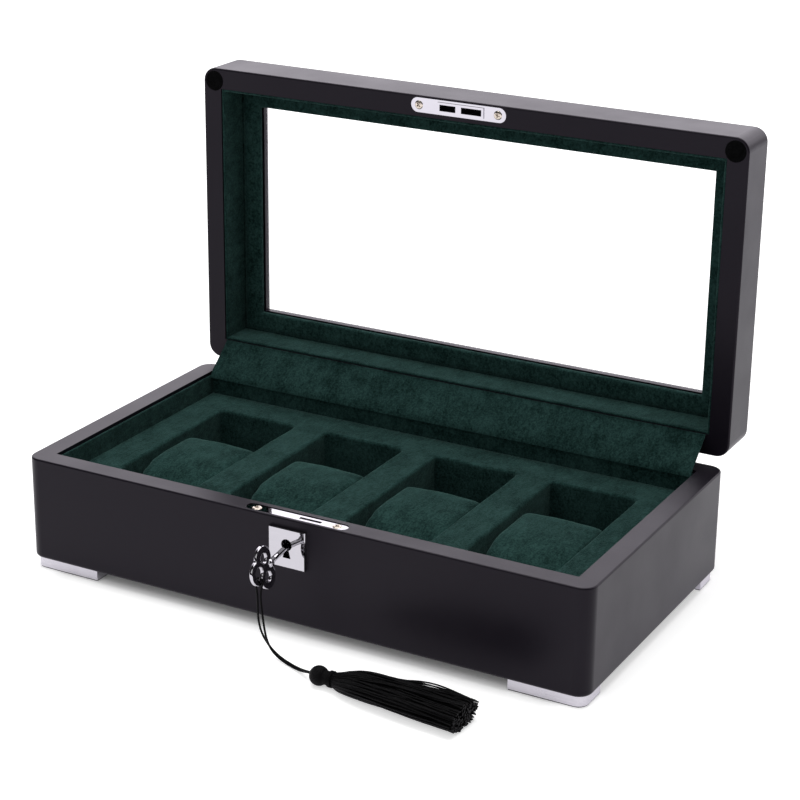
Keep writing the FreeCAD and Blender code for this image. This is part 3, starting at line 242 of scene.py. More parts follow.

# Cord: the routes of its two strands
CORD_DIAMETER = 1.2
CORD_PLIES = 3
CORD_PLY_SHARE = 0.32
CORD_LAY = 3.4
LEFT_STRAND = [
    (-0.05, -119.85, 45.05), (-1.6, -119.85, 44.75), (-2.35, -119.9, 42.9), (-1.9, -120.0, 39.9),
    (-1.0, -120.1, 34.9), (-1.0, -120.2, 26.9), (-0.6, -119.8, 18.9), (0.6, -118.2, 12.1),
    (3.7, -116.8, 6.1), (8.2, -117.1, 2.9), (13.1, -118.1, 1.3), (18.7, -119.9, 0.95),
    (24.9, -122.6, 1.4), (30.9, -125.7, 2.9), (36.65, -128.6, 4.85),
]
RIGHT_STRAND = [
    (0.4, -119.85, 45.05), (1.95, -119.85, 44.75), (2.3, -119.95, 42.9), (1.4, -120.2, 39.9),
    (1.0, -120.7, 34.9), (2.4, -121.4, 26.9), (3.9, -122.0, 18.9), (4.7, -120.9, 11.4),
    (6.9, -119.4, 5.3), (10.7, -119.2, 2.3), (15.1, -120.2, 1.1), (20.1, -122.0, 0.95),
    (25.5, -124.4, 1.5), (30.9, -127.2, 3.2), (36.15, -129.95, 5.25),
]

# Tassel, drawn along X from the middle of its head
TASSEL_PLACE = (41.7, -130.7, 5.5)
TASSEL_HEADING = math.radians(-2.5)
HEAD_RADIUS = 5.2
HEAD_THREADS = 44
HEAD_RIDGE = 0.16
HEAD_BALL_SHARE = 0.68
HEAD_TIP = 0.05
NECK_RADIUS = 4.0
NECK_END = 9.7
NECK_TUCK = 0.93
BINDING_SPAN = (6.3, 8.7)
BINDING_TURNS = 7
BINDING_STAND = 0.2
BINDING_OVERLAP = 1.25

# Tassel's skirt: a stray thread is its outward and upward bow by its rank from the outside
SKIRT_SEED = 20
SKIRT_THREADS = 430
SKIRT_STATIONS = 34
SKIRT_THREAD = 0.42
SKIRT_START = 9.4
SKIRT_LENGTH = 75.0
SKIRT_TRIM = 0.8
SKIRT_WIDENING = 2.4
SKIRT_LEAVING = 8
SKIRT_SPREAD = (0.55, 0.45)
SKIRT_SWELL = (0.85, -0.1)
SKIRT_LOOSE_TURN = 0.3
SKIRT_LOOSE_REACH = 0.09
SKIRT_WAVE_HEIGHT = (0.2, 0.8)
SKIRT_WAVE_ANGLE = (4.0, 11.0)
SKIRT_WAVE_START = (0, 6.28)
SKIRT_WAVE_LIFT = 0.6
SKIRT_WAVE_SHIFT = 7
SKIRT_CLEARANCE = 0.3
SKIRT_FLOOR_GAP = 0.12
STRAY_BOWS = {0: (3.0, 1.2), 1: (2.2, 0.9), 3: (1.2, 0.4), 6: (0.6, 0.2)}
STRAY_SPAN = (0.42, 0.56)

# Stage and light in metres; a lamp is its place, its aim, its size and its power
FLOOR_HALF = 4.0
FLOOR_GRID = 9
FLOOR_DROP = 0.00002
FLOOR_GREY = 0.88
FLOOR_TINT = (1.0, 0.955, 1.07)
# Floor glow: a painted shadow keeps it low over a rectangle a little smaller than the box and eases it up
# within a short span; far out it rises to white
FLOOR_GLOW_IN_PAINTED_SHADOW = 0.06
FLOOR_GLOW_MIDDLE = 0.5
FLOOR_GLOW_FAR = 1.0
PAINTED_SHADOW_SPAN = (0.0, 0.018)
FLOOR_FAR_SPAN = (0.25, 1.1)
PAINTED_SHADOW_HALF = (0.145, 0.081, 0.0)
SURROUND_TINT = (1.0, 0.955, 1.03)
SURROUND_FRONT = 0.03
SURROUND_BACK = 2.5
SURROUND_BACK_FROM = 0.6
SURROUND_LOW = 0.3
SURROUND_FULL_FROM = 0.28
SURROUND_LIGHT = 0.22
LAMPS = {
    "key_overhead": ((-0.1, 0.25, 1.5), (0.0, 0.0, 0.05), (1.6, 1.2), 19.5),
    "front_soft": ((-0.2, -1.5, 1.1), (0.0, 0.05, 0.1), (2.2, 1.2), 7.5),
}
FLOOR_LAMP = ((0.25, -0.9, 1.3), (0.05, -0.1, 0.0), (2.6, 2.2), 9.0)


# Formulas

def eased(value, low, high):
    """A smooth step from 0 at low to 1 at high."""
    share = np.clip((value - low) / (high - low), 0.0, 1.0)
    return share * share * (3 - 2 * share)


def uneven(points, height, wavelength, seed):
    """A smooth field between about minus and plus the height: a mean of plane waves with fixed random
    directions, lengths and phases."""
    chance = np.random.default_rng(seed)
    directions = unit(chance.normal(size=(WAVES, 3)))
    lengths = wavelength * chance.uniform(0.6, 1.7, WAVES)
    phases = chance.uniform(0, FULL_TURN, WAVES)
    angles = np.einsum("...k,wk->...w", points, FULL_TURN * directions / lengths[:, None]) + phases
    return height * (np.sin(angles).mean(-1) * 2.0)


def unit(vectors):
    """Vectors divided by their lengths."""
    return vectors / np.linalg.norm(vectors, axis=-1, keepdims=True)


def run_along(line):
    """The distance along a line of points, from 0 at its start."""
    return np.concatenate([[0.0], np.cumsum(np.linalg.norm(np.diff(line, axis=0), axis=1))])


def cross_directions(path, sideways):
    """Two directions square to a path and to each other at every station; the first is square to sideways."""
    along = unit(np.gradient(path, axis=-2))
    first = unit(np.cross(along, sideways))
    return first, np.cross(along, first)


def ring_angles(count):
    """Angles spread evenly round a full turn."""
    return FULL_TURN * np.arange(count) / count


def placed(x, y, z):
    """Points from their three coordinates, any of which may be one number for all."""
    return np.stack(np.broadcast_arrays(x, y, z), axis=-1)


def ringed(radius, height, angle):
    """Points at a radius and a height round the Z axis, for every angle."""
    return placed(radius * np.cos(angle), radius * np.sin(angle), height)


def turned_by(angle, first, second):
    """Two coordinates turned in their plane by an angle."""
    cosine = math.cos(angle)
    sine = math.sin(angle)
    return cosine * first - sine * second, sine * first + cosine * second


def at_height(flat, height):
    """Points of a plan, raised to a height."""
    return placed(flat[..., 0], flat[..., 1], height)


def opened(points):
    """Points of the shut lid, turned back about the hinge line by a right angle."""
    return placed(points[..., 0], HINGE_Y + points[..., 2] - HINGE_Z, HINGE_Z + HINGE_Y - points[..., 1])


# Meshes

def grid_quads(rows, columns, wrap_rows=False, wrap_columns=False):
    """Quads of a grid of points kept row by row; a wrapped direction closes on itself."""
    index = np.arange(rows * columns).reshape(rows, columns)
    if wrap_rows:
        index = np.vstack([index, index[:1]])
    if wrap_columns:
        index = np.hstack([index, index[:, :1]])
    quads = np.stack([index[:-1, :-1], index[:-1, 1:], index[1:, 1:], index[1:, :-1]], axis=-1)
    return quads.reshape(-1, 4)


def capped(points):
    """A closed shape from a grid whose rows are closed rings: quads between the rings, and one flat face over
    the first ring and one over the last."""
    rows, columns = points.shape[:2]
    faces = grid_quads(rows, columns, wrap_columns=True).tolist()
    for start in (0, (rows - 1) * columns):
        faces.append(list(range(start, start + columns)))
    return points, faces


def stacked(parts):
    """Several (points, faces) pairs as one, with the point numbers moved on."""
    points = []
    faces = []
    start = 0
    for part_points, part_faces in parts:
        flat = np.asarray(part_points, float).reshape(-1, 3)
        points.append(flat)
        faces.extend((np.asarray(face) + start).tolist() for face in part_faces)
        start += len(flat)
    return np.concatenate(points), faces


def faced_outwards(mesh):
    """Join the points that coincide, and turn all faces of a closed shape outwards."""
    work = bmesh.new()
    work.from_mesh(mesh)
    bmesh.ops.remove_doubles(work, verts=work.verts, dist=JOIN_WITHIN * MM)
    bmesh.ops.recalc_face_normals(work, faces=work.faces)
    if work.calc_volume(signed=True) < 0:
        bmesh.ops.reverse_faces(work, faces=work.faces)
    work.to_mesh(mesh)
    work.free()


def piece_from(name, points, faces, material):
    """An object at the origin from points in millimetres and lists of point numbers."""
    mesh = bpy.data.meshes.new(name)
    places = np.asarray(points, float).reshape(-1, 3) * MM
    mesh.from_pydata(places.tolist(), [], [list(face) for face in faces])
    faced_outwards(mesh)
    mesh.polygons.foreach_set("use_smooth", np.full(len(mesh.polygons), True))
    mesh.set_sharp_from_angle(angle=SHARP_FROM)
    mesh.materials.append(material)
    mesh.update()
    item = bpy.data.objects.new(name, mesh)
    bpy.context.scene.collection.objects.link(item)
    return item


def stands_for(item, body, slot, *nodes):
    """Let a new piece ride on a body and take the place of CAD nodes."""
    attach(item, body)
    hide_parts(*nodes)


def mesh_parts(mesh):
    """The points of a mesh in millimetres, and its faces as lists of point numbers."""
    flat = np.empty(len(mesh.vertices) * 3)
    mesh.vertices.foreach_get("co", flat)
    return flat.reshape(-1, 3) / MM, [list(face.vertices) for face in mesh.polygons]


def curve_parts(data):
    """The points and faces that a curve draws; the curve itself is removed."""
    item = bpy.data.objects.new(data.name, data)
    mesh = bpy.data.meshes.new_from_object(item)
    parts = mesh_parts(mesh)
    bpy.data.meshes.remove(mesh)
    bpy.data.objects.remove(item)
    bpy.data.curves.remove(data)
    return parts


def tubes(paths, radius, sides, sideways):
    """Round tubes along paths (count, stations, 3): at angle a the point is the path plus radius times
    (cos a times a cross direction plus sin a times the other cross direction)."""
    first, second = cross_directions(paths, sideways)
    angles = ring_angles(sides)[:, None]
    ring = np.cos(angles) * first[:, :, None, :] + np.sin(angles) * second[:, :, None, :]
    points = paths[:, :, None, :] + radius * ring
    return stacked([capped(tube) for tube in points])


# Materials

def node(tree, kind, **values):
    """A node with properties and unlinked inputs set by name."""
    item = tree.nodes.new(kind)
    for name, value in values.items():
        if hasattr(item, name):
            setattr(item, name, value)
        else:
            item.inputs[name.replace("_", " ")].default_value = value
    return item


def feed(tree, value, socket):
    """Link a node's output to an input, or set a plain number there."""
    if isinstance(value, (int, float)):
        socket.default_value = value
    else:
        tree.links.new(value, socket)


def object_place(tree):
    """Object coordinates."""
    return node(tree, "ShaderNodeTexCoord").outputs["Object"]


def stretched_place(tree, scale):
    """Object coordinates scaled unevenly, for streaks."""
    mapping = node(tree, "ShaderNodeMapping", Scale=scale)
    tree.links.new(object_place(tree), mapping.inputs["Vector"])
    return mapping.outputs["Vector"]


def noise(tree, place, scale, detail, roughness):
    """A noise texture over a place; the scale is a number or a socket."""
    item = node(tree, "ShaderNodeTexNoise", Detail=detail, Roughness=roughness)
    tree.links.new(place, item.inputs["Vector"])
    feed(tree, scale, item.inputs["Scale"])
    return item.outputs["Fac"]


def worked_out(tree, operation, first, second):
    """The result of a Math node, with each side a socket or a number."""
    item = node(tree, "ShaderNodeMath", operation=operation)
    feed(tree, first, item.inputs[0])
    feed(tree, second, item.inputs[1])
    return item.outputs[0]


def weighted_sum(tree, *terms):
    """The sum of sockets, each times its weight; a weight of 1 leaves a socket as it is."""
    shares = [
        socket if weight == 1.0 else worked_out(tree, "MULTIPLY", socket, weight) for socket, weight in terms
    ]
    total = shares[0]
    for share in shares[1:]:
        total = worked_out(tree, "ADD", total, share)
    return total


def ramped(tree, value, span, start=0.0, end=1.0, interpolation="LINEAR"):
    """A value that runs from start to end while another runs over a span."""
    item = node(tree, "ShaderNodeMapRange", interpolation_type=interpolation)
    sockets = ("Value", "From Min", "From Max", "To Min", "To Max")
    for socket, number in zip(sockets, (value, *span, start, end)):
        feed(tree, number, item.inputs[socket])
    return item.outputs["Result"]


def bumped(tree, strength, height, distance):
    """The normal of a bump."""
    item = node(tree, "ShaderNodeBump", Distance=distance)
    tree.links.new(strength, item.inputs["Strength"])
    tree.links.new(height, item.inputs["Height"])
    return item.outputs["Normal"]


def open_group(name, inputs):
    """An empty node group with named inputs, and the sockets that they give inside it."""
    tree = bpy.data.node_groups.new(name, "ShaderNodeTree")
    for socket, value in inputs.items():
        made = tree.interface.new_socket(socket, in_out="INPUT", socket_type="NodeSocketFloat")
        made.default_value = value
    return tree, tree.nodes.new("NodeGroupInput").outputs


def close_group(tree, **outputs):
    """Give a node group its outputs."""
    for name in outputs:
        kind = "NodeSocketVector" if name == "Normal" else "NodeSocketFloat"
        tree.interface.new_socket(name, in_out="OUTPUT", socket_type=kind)
    result = tree.nodes.new("NodeGroupOutput")
    for name, value in outputs.items():
        tree.links.new(value, result.inputs[name])
    return tree


def pile_group():
    """Short pile: brushed patches that shade lighter or darker, streaks and specks of single tufts, and the
    bump of the fibres."""
    tree, given = open_group("short_pile", {"Patch Scale": 70.0, "Tuft Scale": 950.0, "Depth": 0.5})
    place = object_place(tree)
    patches = noise(tree, place, given["Patch Scale"], 4.0, 0.6)
    streaks = noise(tree, stretched_place(tree, (520.0, 190.0, 330.0)), 1.0, 3.0, 0.65)
    tufts = noise(tree, place, given["Tuft Scale"], 3.0, 0.7)
    shade = weighted_sum(tree, (patches, 0.9), (streaks, 0.8), (tufts, 1.3))
    fibres = weighted_sum(tree, (tufts, 1.0), (streaks, 0.8))
    return close_group(
        tree, Shade=ramped(tree, shade, (1.2, 1.8)), Normal=bumped(tree, given["Depth"], fibres, 0.0005),
    )


def lacquer_group():
    """Sprayed lacquer: a faint orange-peel, and slow changes of gloss."""
    tree, given = open_group("sprayed_lacquer", {"Gloss Low": 0.30, "Gloss High": 0.40, "Peel": 0.06})
    place = object_place(tree)
    slow = noise(tree, place, 26.0, 3.0, 0.5)
    coarse = noise(tree, place, 700.0, 1.0, 0.4)
    fine = noise(tree, place, 2600.0, 1.0, 0.5)
    peel = bumped(tree, given["Peel"], weighted_sum(tree, (coarse, 1.0), (fine, 0.3)), 0.0002)
    gloss = ramped(tree, slow, (0.3, 0.7), given["Gloss Low"], given["Gloss High"])
    return close_group(tree, Shade=slow, Roughness=gloss, Normal=peel)


def worked_metal_group():
    """Worked metal: fine lines along X, and the gloss that they break up."""
    tree, given = open_group("worked_metal", {"Line Depth": 0.1, "Gloss Low": 0.05, "Gloss High": 0.12})
    lines = noise(tree, stretched_place(tree, (35.0, 2600.0, 2600.0)), 1.0, 3.0, 0.6)
    cloud = noise(tree, object_place(tree), 140.0, 2.0, 0.5)
    shade = weighted_sum(tree, (lines, 0.6), (cloud, 0.4))
    gloss = ramped(tree, shade, (0.3, 0.7), given["Gloss Low"], given["Gloss High"])
    scored = bumped(tree, given["Line Depth"], lines, 0.0001)
    return close_group(tree, Shade=shade, Roughness=gloss, Normal=scored)


def yarn_group():
    """Twisted yarn: slanting plies and loose fibres."""
    tree, given = open_group("twisted_yarn", {"Ply Scale": 900.0, "Depth": 0.5})
    place = object_place(tree)
    plies = node(tree, "ShaderNodeTexWave", bands_direction="DIAGONAL", Distortion=2.0, Detail=2.0)
    tree.links.new(place, plies.inputs["Vector"])
    tree.links.new(given["Ply Scale"], plies.inputs["Scale"])
    height = weighted_sum(tree, (plies.outputs["Fac"], 1.0), (noise(tree, place, 2400.0, 2.0, 0.6), 0.5))
    return close_group(tree, Shade=height, Normal=bumped(tree, given["Depth"], height, 0.0002))


PILE = pile_group()
SPRAYED = lacquer_group()
WORKED = worked_metal_group()
TWISTED = yarn_group()


def finish(name, group, group_values, dark, light, constants):
    """A Principled material whose colour runs from dark to light with the shade of a node group."""
    material = bpy.data.materials.new(name)
    material.use_nodes = True
    tree = material.node_tree
    shader = tree.nodes["Principled BSDF"]
    effect = node(tree, "ShaderNodeGroup", node_tree=group)
    for socket, value in group_values.items():
        effect.inputs[socket].default_value = value
    ramp = node(tree, "ShaderNodeValToRGB")
    for element, colour in zip(ramp.color_ramp.elements, (dark, light)):
        element.color = (*colour, 1.0)
    tree.links.new(effect.outputs["Shade"], ramp.inputs["Fac"])
    tree.links.new(ramp.outputs["Color"], shader.inputs["Base Color"])
    for socket in ("Normal", "Roughness"):
        if socket in effect.outputs:
            tree.links.new(effect.outputs[socket], shader.inputs[socket])
    for socket, value in constants.items():
        shader.inputs[socket].default_value = value
    return material


VELVET_LOOK = {
    "Roughness": 0.95, "Specular IOR Level": 0.04, "Sheen Weight": 0.3, "Sheen Roughness": 0.4,
    "Sheen Tint": (0.34, 0.62, 0.57, 1.0),
}
METAL_LOOK = {"Metallic": 1.0}
LACQUER = finish(
    "satin_black_lacquer", SPRAYED, {"Gloss Low": 0.30, "Gloss High": 0.38},
    (0.0058, 0.0046, 0.0076), (0.0078, 0.0062, 0.0100),
    {"Specular IOR Level": 0.14, "Specular Tint": (0.96, 0.89, 1.0, 1.0)},
)
VELVET = finish(
    "green_velvet", PILE, {}, (0.003, 0.013, 0.0115), (0.023, 0.058, 0.053), VELVET_LOOK,
)
CUSHION_VELVET = finish(
    "green_cushion_velvet", PILE, {"Patch Scale": 90.0},
    (0.004, 0.015, 0.0135), (0.024, 0.062, 0.056), VELVET_LOOK,
)
FELT = finish(
    "black_felt", PILE, {"Patch Scale": 300.0, "Depth": 0.8},
    (0.001, 0.001, 0.0012), (0.004, 0.004, 0.0045), {"Roughness": 0.95, "Specular IOR Level": 0.05},
)
YARN = finish(
    "black_yarn", TWISTED, {}, (0.0004, 0.0004, 0.0005), (0.0020, 0.0020, 0.0024),
    {"Roughness": 0.42, "Specular IOR Level": 0.07},
)
POLISHED = finish(
    "polished_metal", WORKED, {"Line Depth": 0.002, "Gloss Low": 0.015, "Gloss High": 0.05},
    (0.42, 0.412, 0.435), (0.48, 0.472, 0.495), METAL_LOOK,
)
BRUSHED = finish(
    "brushed_metal", WORKED, {"Line Depth": 0.25, "Gloss Low": 0.22, "Gloss High": 0.38},
    (0.42, 0.41, 0.44), (0.72, 0.705, 0.735), METAL_LOOK,
)
SCREW_METAL = finish(
    "screw_metal", WORKED, {"Line Depth": 0.03, "Gloss Low": 0.08, "Gloss High": 0.2},
    (0.40, 0.35, 0.29), (0.60, 0.54, 0.46), METAL_LOOK,
)
STEEL = finish(
    "steel", WORKED, {"Line Depth": 0.08, "Gloss Low": 0.18, "Gloss High": 0.32},
    (0.42, 0.42, 0.42), (0.58, 0.58, 0.58), METAL_LOOK,
)
RUBBER = finish(
    "black_rubber", PILE, {"Patch Scale": 120.0, "Depth": 0.2},
    (0.004, 0.004, 0.004), (0.010, 0.010, 0.010), {"Roughness": 0.75},
)
GLASS = finish(
    "clear_glass", SPRAYED, {"Gloss Low": 0.01, "Gloss High": 0.02, "Peel": 0.0},
    (0.97, 0.985, 0.98), (0.99, 1.0, 0.995), {"Transmission Weight": 1.0, "IOR": 1.15, "Alpha": 0.08},
)
NODE_FINISHES = {
    "black_lacquer": LACQUER, "green_velvet": VELVET, "green_velvet_cushion": CUSHION_VELVET,
    "black_pad": RUBBER, "brushed_foot": BRUSHED, "clear_glass": GLASS, "black_felt": FELT,
    "black_cord": YARN, "polished_metal": POLISHED, "screw_metal": SCREW_METAL, "steel": STEEL,
}


def dress_nodes():
    """Give every CAD node the finish of its slot."""
    slots = {part["node"]: part["material_slot"] for part in frame["record"]["subparts"]}
    for name, item in frame["nodes"].items():
        item.data.materials.clear()
        item.data.materials.append(NODE_FINISHES[slots[name]])


def ease_fittings():
    """Ease the edges of the plates, so that they catch the light."""
    for name, width in FITTING_EASE.items():
        modifier = frame["nodes"][name].modifiers.new("eased_edges", "BEVEL")
        modifier.width = width * MM
        modifier.segments = 3
        modifier.limit_method = "ANGLE"
        modifier.angle_limit = FITTING_EASE_FROM
        modifier.harden_normals = True


# Cord and tassel

def route_line(name, points):
    """Points along the smooth line of a route: a NURBS spline with the route's points as control points."""
    data = bpy.data.curves.new(name + "_route", "CURVE")
    data.dimensions = "3D"
    spline = data.splines.new("NURBS")
    spline.points.add(len(points) - 1)
    places = np.column_stack([np.array(points) * MM, np.ones(len(points))])
    spline.points.foreach_set("co", places.ravel())
    spline.order_u = 3
    spline.use_endpoint_u = True
    spline.resolution_u = 24
    return curve_parts(data)[0]


def cord(name, route, strand):
    """A thin three-ply cord in place of a CAD strand: each ply winds round the smooth line of the route."""
    line = route_line(name, route)
    run = run_along(line)
    first, second = cross_directions(line, (0.0, 1.0, 0.0))
    ply_radius = CORD_DIAMETER * CORD_PLY_SHARE
    ply_offset = CORD_DIAMETER / 2 - ply_radius
    turn = (FULL_TURN * run / CORD_LAY + ring_angles(CORD_PLIES)[:, None])[..., None]
    plies = line + ply_offset * (np.cos(turn) * first + np.sin(turn) * second)
    points, faces = tubes(plies, ply_radius, 8, (0.0, 1.0, 0.0))
    item = piece_from(name, points, faces, YARN)
    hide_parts(strand)
    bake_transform(item)


def tassel_points(points):
    """Points of the tassel, laid where it lies."""
    x, y = turned_by(TASSEL_HEADING, points[..., 0], points[..., 1])
    return placed(x, y, points[..., 2]) + TASSEL_PLACE


def tassel_head():
    """The head: threads drawn over a ball to a neck. The radius at a station is that of the ball or the neck,
    with a ridge for each thread."""
    stations = np.linspace(0.0, 1.0, 72)
    ball_end = math.pi - math.asin(NECK_RADIUS / HEAD_RADIUS * NECK_TUCK)
    polar = np.clip(stations / HEAD_BALL_SHARE, 0, 1) * ball_end
    ball_x = -HEAD_RADIUS * np.cos(polar)
    ball_r = HEAD_RADIUS * np.sin(polar)
    neck_share = np.clip((stations - HEAD_BALL_SHARE) / (1 - HEAD_BALL_SHARE), 0, 1)
    x = ball_x + neck_share * (NECK_END - ball_x.max())
    angle = ring_angles(HEAD_THREADS * 6)
    ridge = HEAD_RIDGE * np.abs(np.sin(HEAD_THREADS * angle / 2 + 0.4 * np.sin(3 * angle)))
    swell = np.minimum(ball_r / NECK_RADIUS, 1.0)
    radius = np.maximum(ball_r[:, None] - HEAD_RIDGE + swell[:, None] * ridge, HEAD_TIP)
    along_x = np.roll(ringed(radius, x[:, None], angle), 1, axis=-1)
    item = piece_from("tassel_head_threads", *capped(tassel_points(along_x)), YARN)
    stands_for(item, "tassel", "black_cord", "tassel_head")


def tassel_binding():
    """The binding: one thread wound in close turns round the neck, a helix that climbs by its own width."""
    thread = (BINDING_SPAN[1] - BINDING_SPAN[0]) / (BINDING_TURNS + 1) / 2
    turn = np.linspace(0.0, FULL_TURN * BINDING_TURNS, 60 * BINDING_TURNS)
    radius = NECK_RADIUS + BINDING_STAND
    x = BINDING_SPAN[0] + thread + turn / FULL_TURN * 2 * thread
    path = placed(x, radius * np.cos(turn), radius * np.sin(turn))
    points, faces = tubes(path[None], thread * BINDING_OVERLAP, 8, (1.0, 0.0, 0.0))
    item = piece_from("tassel_binding_turns", tassel_points(points), faces, YARN)
    stands_for(item, "tassel", "black_cord", "tassel_binding")


def let_threads_stray(share, across, high):
    """Bow a few outer threads away from the rest, by half a sine wave over the far part of their run."""
    station = 2 * len(share) // 3
    outer = np.argsort(-(across + 0.8 * high)[:, station])
    strays = outer[list(STRAY_BOWS)]
    bows = np.array(list(STRAY_BOWS.values()))
    wave = np.sin(math.pi * np.clip((share - STRAY_SPAN[0]) / STRAY_SPAN[1], 0, 1))
    across[strays] += bows[:, :1] * wave
    high[strays] += bows[:, 1:] * wave


def tassel_skirt():
    """The skirt: separate threads that leave the neck side by side and spread on the floor. Each runs from a
    place in the neck to a place in a wider oval, with a slight wave of its own; a few stray from the rest."""
    chance = np.random.default_rng(SKIRT_SEED)
    number = np.arange(SKIRT_THREADS)[:, None]
    each = number.shape
    share = np.linspace(0.0, 1.0, SKIRT_STATIONS)
    leaving = 1 - (1 - share) ** SKIRT_LEAVING
    spread = SKIRT_SPREAD[0] * leaving + SKIRT_SPREAD[1] * share
    swell = SKIRT_SWELL[0] * leaving + SKIRT_SWELL[1] * share
    half_width = NECK_RADIUS * (1 + SKIRT_WIDENING * spread) - SKIRT_THREAD
    half_height = NECK_RADIUS * (1 + swell) - SKIRT_THREAD
    rise = np.maximum(half_height + SKIRT_THREAD + SKIRT_CLEARANCE - TASSEL_PLACE[2], 0.0)
    lengths = SKIRT_LENGTH - np.abs(chance.normal(0.0, SKIRT_TRIM, each))
    turn = number * GOLDEN_ANGLE + chance.normal(0.0, SKIRT_LOOSE_TURN, each) * share
    reach = np.sqrt((number + 0.5) / SKIRT_THREADS) + chance.normal(0.0, SKIRT_LOOSE_REACH, each) * share
    reach = np.clip(reach, 0.0, 1.0)
    wave_height = chance.uniform(*SKIRT_WAVE_HEIGHT, each)
    wave_length = chance.uniform(*SKIRT_WAVE_ANGLE, each)
    wave = wave_height * np.sin(share * wave_length + chance.uniform(*SKIRT_WAVE_START, each)) * spread
    across = reach * np.cos(turn) * half_width + wave
    lift = SKIRT_WAVE_LIFT * np.roll(wave, SKIRT_WAVE_SHIFT, axis=0)
    high = reach * np.sin(turn) * half_height + rise + lift
    let_threads_stray(share, across, high)
    high = np.maximum(high, SKIRT_THREAD + SKIRT_FLOOR_GAP - TASSEL_PLACE[2])
    paths = placed(SKIRT_START + share * lengths, across, high)
    points, faces = tubes(paths, SKIRT_THREAD, 6, (0.0, 0.0, 1.0))
    item = piece_from("tassel_skirt_threads", tassel_points(points), faces, YARN)
    stands_for(item, "tassel", "black_cord", "tassel_skirt")


# Key

def key_points(points):
    """Points of the key, drawn along its own axis, as it hangs in the lock: turned and then drooped."""
    points = np.asarray(points, float)
    x, z = turned_by(KEY_TURNED, points[..., 0], points[..., 2])
    y, z = turned_by(KEY_DROOP, points[..., 1], z)
    return placed(x, y, z) + KEY_PLACE


def bow_outline():
    """The rim of the bow round its middle: along each ray, a soft maximum of the far crossings of three
    circles, so that the lobes run into each other without a sharp notch."""
    angle = ring_angles(180)
    ray = np.stack([np.cos(angle), np.sin(angle)], axis=-1)
    reaches = []
    for y, z, _ in KEY_LOBES.values():
        offset = np.array((y, z)) - KEY_BOW_MIDDLE
        along = ray @ offset
        miss = offset @ offset - along ** 2
        reaches.append(along + np.sqrt(np.maximum(KEY_LOBE ** 2 - miss, 0.0)))
    radius = np.log(np.exp(KEY_BOW_SHARPNESS * np.stack(reaches)).sum(0)) / KEY_BOW_SHARPNESS
    return KEY_BOW_MIDDLE + radius[:, None] * ray


def bow_plate():
    """The bow: a flat plate with an eased rim and a round hole in each lobe, filled from its outlines."""
    data = bpy.data.curves.new("key_bow", "CURVE")
    data.dimensions = "2D"
    data.fill_mode = "BOTH"
    data.extrude = (KEY_BOW_HALF - KEY_BOW_EASE) * MM
    data.bevel_depth = KEY_BOW_EASE * MM
    data.bevel_resolution = 4
    data.offset = -KEY_BOW_EASE * MM
    turn = ring_angles(72)
    holes = [ringed(hole, 0.0, turn)[:, :2] + (y, z) for y, z, hole in KEY_LOBES.values()]
    for outline in [bow_outline(), *holes]:
        spline = data.splines.new("POLY")
        spline.points.add(len(outline) - 1)
        flat = np.column_stack([outline * MM, np.zeros(len(outline)), np.ones(len(outline))])
        spline.points.foreach_set("co", flat.ravel())
        spline.use_cyclic_u = True
    drawn, faces = curve_parts(data)
    return np.roll(drawn, 1, axis=-1), faces


def turned_bar(profile, sides):
    """A bar turned on a lathe about the key's axis: each profile entry is (place along the axis, radius)."""
    along, radius = np.array(profile).T[..., None]
    return capped(ringed(radius, along, ring_angles(sides))[..., [0, 2, 1]])


def bit_block():
    """The key's bit: a stepped outline with a ward cut, given its thickness."""
    start, end = KEY_BIT_SPAN
    ward_start, ward_end = KEY_WARD_SPAN
    root = -KEY_BIT_ROOT
    reach = -KEY_BIT_REACH
    ward = -KEY_WARD_DEPTH
    outline = np.array([
        (start, root), (start, reach), (ward_start, reach), (ward_start, ward),
        (ward_end, ward), (ward_end, reach), (end, reach), (end, root),
    ])
    faces = (-KEY_BIT_HALF, KEY_BIT_HALF)
    return capped(np.stack([np.column_stack([np.full(len(outline), face), outline]) for face in faces]))


def flat_where_level(item, axis, nearness):
    """Shade as flat the faces that look along an axis, so that only eased edges are shaded as round."""
    normals = np.empty(len(item.data.polygons) * 3)
    item.data.polygons.foreach_get("normal", normals)
    along = np.abs(normals.reshape(-1, 3) @ axis)
    item.data.polygons.foreach_set("use_smooth", along < nearness)
    item.data.update()


def key():
    """The key: a turned shank that swells into a collar, a bit, and a flat bow of three lobes."""
    swell = np.linspace(0, 1, 12)
    collar = KEY_SHANK + KEY_COLLAR_SWELL
    profile = [(KEY_ENTRY, KEY_SHANK - 0.4), (KEY_ENTRY - 0.3, KEY_SHANK - 0.1), (KEY_ENTRY - 0.6, KEY_SHANK)]
    profile.append((KEY_COLLAR_START + 0.1, KEY_SHANK))
    profile += [
        (KEY_COLLAR_START - KEY_COLLAR_LENGTH * share, KEY_SHANK + KEY_COLLAR_SWELL * eased(share, 0.0, 0.9))
        for share in swell
    ]
    profile += [
        (KEY_COLLAR_FACE - KEY_COLLAR_FACE_LENGTH * share, collar - KEY_COLLAR_FACE_FALL * share ** 2)
        for share in swell
    ]
    points, faces = stacked([turned_bar(profile, 48), bit_block(), bow_plate()])
    item = piece_from("key_with_flat_bow", key_points(points), faces, POLISHED)
    across = key_points((1.0, 0.0, 0.0)) - key_points((0.0, 0.0, 0.0))
    flat_where_level(item, across, KEY_FLAT_WITHIN)
    stands_for(item, "key", "polished_metal", "key")


# Tray

